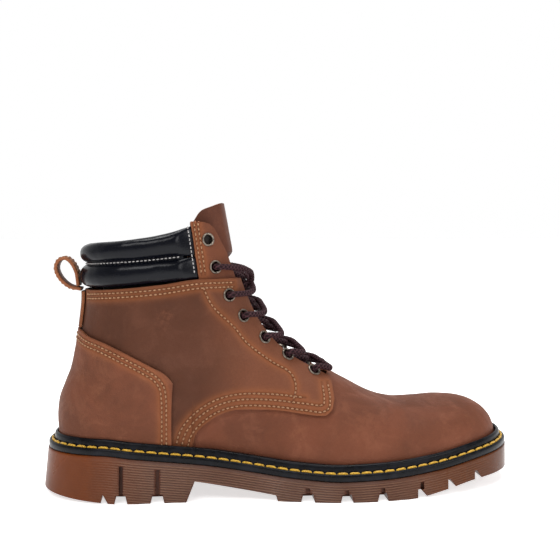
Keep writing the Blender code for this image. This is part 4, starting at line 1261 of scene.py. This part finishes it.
def notch_profile(x, width):
    """Square-shouldered under the foot; a slanted front where the toe rises."""
    low = float(tread_line(x))
    top, lip, under = low + NOTCH_HEIGHT, low - 0.5, low - 12
    back, front = x - width / 2, x + width / 2
    if x > 70:
        return [(back, under), (back, top), (back + 1.6, top), (front + 2.0, low - 1.5),
                (front + 4.0, under)]
    if x < -108:
        return [(back - 1.6, under), (back, lip), (back + 1.2, top), (front, lip), (front + 1.6, under)]
    return [(back - 0.8, under), (back - 0.8, lip), (back + 0.6, top), (front - 0.6, top),
            (front + 0.8, lip), (front + 0.8, under)]


def side_boxes(x, side, profile, depth):
    edge = float(surface(station(x), feather(x), side, float(sole_edge(x)))[1])
    left, right = sorted((edge - side * depth, edge + side * 25.0))
    return prism(profile, left, right)


def sole_block():
    """The sole before it is cut: a side wall with fine level ribs, closed above and below."""
    flare = curve([(-153, HEEL_FLARE), (-60, 0.6), (153, 0.0)])
    rib = curve(RIBS)
    edge = outline(sole_edge, RIM)
    away = outward(edge, outline(lambda x: sole_edge(x) - 4.0, RIM))
    x = edge[:, 0]
    deep = sole_top(x) - tread_line(x)
    loops, crests = [], []
    for w in [0.0, 0.12, 0.35, 0.7] + list(np.arange(1.1, 31.0, 0.3)):
        round_in = 0.7 * max(0.0, 1 - w / 0.7) ** 2
        wave = (0.5 + 0.5 * cos(2 * pi * w / RIB_PITCH)) * smoothstep(w, 1.0, 2.0)
        crests.append(rib(x) / RIB_DEPTH * (1 - wave) ** 2 * smoothstep(w, 1.0, 2.0))
        loop = edge + away * (flare(x) * np.minimum(w / deep, 1.2) - round_in - rib(x) * wave)[:, None]
        loop[:, 2] = sole_top(x) - w
        loops.append(loop)
    points = np.array(loops)
    count = points.shape[1]
    faces = grid_faces(len(loops), count, closed=True)
    for i in range(count // 2):
        face = tuple(dict.fromkeys((i, i + 1, (-i - 1) % count, (-i) % count)))
        faces += [face, tuple(reversed([v + (len(loops) - 1) * count for v in face]))]
    sole = new_object("outsole_gum", points.reshape(-1, 3), faces, gum)
    # crest marks the ribs' tops, where the gum paints a highlight
    mark_points(sole, "crest", np.concatenate(crests))
    # wall is 1 on the block and 0 on the faces the cuts add, which the gum darkens as painted shade
    mark_points(sole, "wall", np.ones(points.shape[0] * count))
    weld(sole, 0.002)
    face_outward(sole)
    return sole


def cut_tread(sole):
    """Cuts the ground line, the arch's gap, the lugs' notches, the slots above them and the channels."""
    ground = [(x, float(tread_line(x))) for x in np.linspace(-175, 175, 80)]
    subtract(sole, [prism([(-175.0, -60.0)] + ground + [(175.0, -60.0)], -95.0, 95.0)])
    subtract(sole, [prism(ARCH_GAP, -90.0, 90.0)])
    subtract(sole, [side_boxes(x, side, notch_profile(x, width), NOTCH_DEPTH)
                    for x, width in NOTCHES for side in SIDES])
    slots, channels = [], []
    for x, _ in NOTCHES[1:7]:
        low, high = float(tread_line(x)) + NOTCH_HEIGHT - 0.6, float(sole_top(x)) - 4.6
        profile = [(x - 1.3, low), (x - 1.1, high), (x + 1.1, high), (x + 1.3, low)]
        slots += [side_boxes(x, side, profile, SLOT_DEPTH) for side in SIDES]
    for x in CHANNELS:
        low, middle = float(tread_line(x)), float(centre_y(x))
        high = low + CHANNEL_HEIGHT
        profile = [(x - 2.2, low - 12), (x - 1.4, high), (x + 1.4, high), (x + 2.2, low - 12)]
        channels.append(prism(profile, middle - CHANNEL_REACH, middle + CHANNEL_REACH))
    subtract(sole, slots)
    subtract(sole, channels)


def make_outsole():
    sole = sole_block()
    cut_tread(sole)
    sole.data.shade_smooth()
    sole.data.set_sharp_from_angle(angle=radians(35))
    place(sole, "boot", "gum_rubber", "outsole")


def make_footbed():
    """A cupped insole under a cloth face."""
    stations = (1 - np.cos(pi * np.arange(121) / 120)) / 2
    rows = []
    for u in stations:
        flat = HEEL_X + u * (TOE_X - HEEL_X)
        left, right = (surface(u, feather(flat), side, FOOTBED_GROW) for side in SIDES)
        shares = np.sin(np.linspace(-pi / 2, pi / 2, 41)) / 2 + 0.5
        row = left[None] * (1 - shares[:, None]) + right[None] * shares[:, None]
        fade = smoothstep(min(flat - HEEL_X, TOE_X - flat), 0.0, 30.0)
        cup = FOOTBED_CUP * fade * np.abs(2 * shares - 1) ** 3
        row[:, 2] = sole_top(row[:, 0]) + FOOTBED_LEVEL + cup
        rows.append(row)
    made = panel("footbed_pad", [(LATERAL, np.array(rows))], FOOTBED_THICKNESS, sock_cloth, bevel=0.5)
    place(made, "footbed", "foam", "footbed")


make_welt()
make_outsole()
make_footbed()


# ---------------------------------------------------------------- pieces that stay as the CAD has them

def finish_nodes():
    finishes = {"midsole_filler": cork, "steel_shank": steel, "insole_board": fibre, "steel_toe_cap": steel,
                "toe_cap_strip": foam, "heel_stiffener": fibre, "vamp_lining": lining,
                "lace_tip_lateral": tip_plastic, "lace_tip_medial": tip_plastic}
    for name, finish in finishes.items():
        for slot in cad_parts[name].material_slots:
            slot.material = finish


finish_nodes()


# ---------------------------------------------------------------- stage and lights

def area_light(name, place_at, aim, width, height, power):
    data = bpy.data.lights.new(name, "AREA")
    data.shape = "RECTANGLE"
    data.size, data.size_y = width, height
    data.energy = power
    lamp = bpy.data.objects.new(name, data)
    lamp.location = place_at
    lamp.rotation_euler = (Vector(aim) - Vector(place_at)).to_track_quat("-Z", "Y").to_euler()
    bpy.context.scene.collection.objects.link(lamp)


def make_world():
    """A white backdrop behind the boot, and a dimmer studio overhead and in front of it."""
    world = bpy.data.worlds.new("studio")
    world.use_nodes = True
    nodes = Nodes(world.node_tree, "Generated")
    behind = nodes.remap(nodes.axis("Y"), -0.25, 0.35, 0.36, 1.0)
    overhead = nodes.remap(nodes.axis("Z"), 0.3, 0.7, 1.0, 0.45)
    background = world.node_tree.nodes["Background"]
    world.node_tree.links.new(nodes.times(behind, overhead), background.inputs["Strength"])
    background.inputs["Color"].default_value = (1.0, 1.0, 1.0, 1.0)
    bpy.context.scene.world = world


def make_stage():
    mesh = bpy.data.meshes.new("floor")
    reach = 40.0
    corners = [(-reach, -reach, 0), (reach, -reach, 0), (reach, reach, 0), (-reach, reach, 0)]
    mesh.from_pydata(corners, [], [(0, 1, 2, 3)])
    paint = Paint("floor_paint", Roughness=0.8, Emission_Strength=0.66)
    mesh.materials.append(paint.finish(Base_Color=paint.mix(paint.fractal(3.0, 2.0), "F4F4F4", "F8F8F8")))
    floor = bpy.data.objects.new("floor", mesh)
    bpy.context.scene.collection.objects.link(floor)
    make_world()
    area_light("key", (-0.5, -0.9, 1.1), (0.0, 0.0, 0.05), 0.9, 0.5, 8.6)
    area_light("fill", (0.9, -0.9, 0.6), (0.05, 0.0, 0.06), 0.6, 0.6, 4.5)
    area_light("top", (0.05, 0.1, 1.1), (0.0, 0.0, 0.05), 0.9, 0.4, 8.6)
    bpy.context.scene.view_settings.view_transform = "Standard"


make_stage()
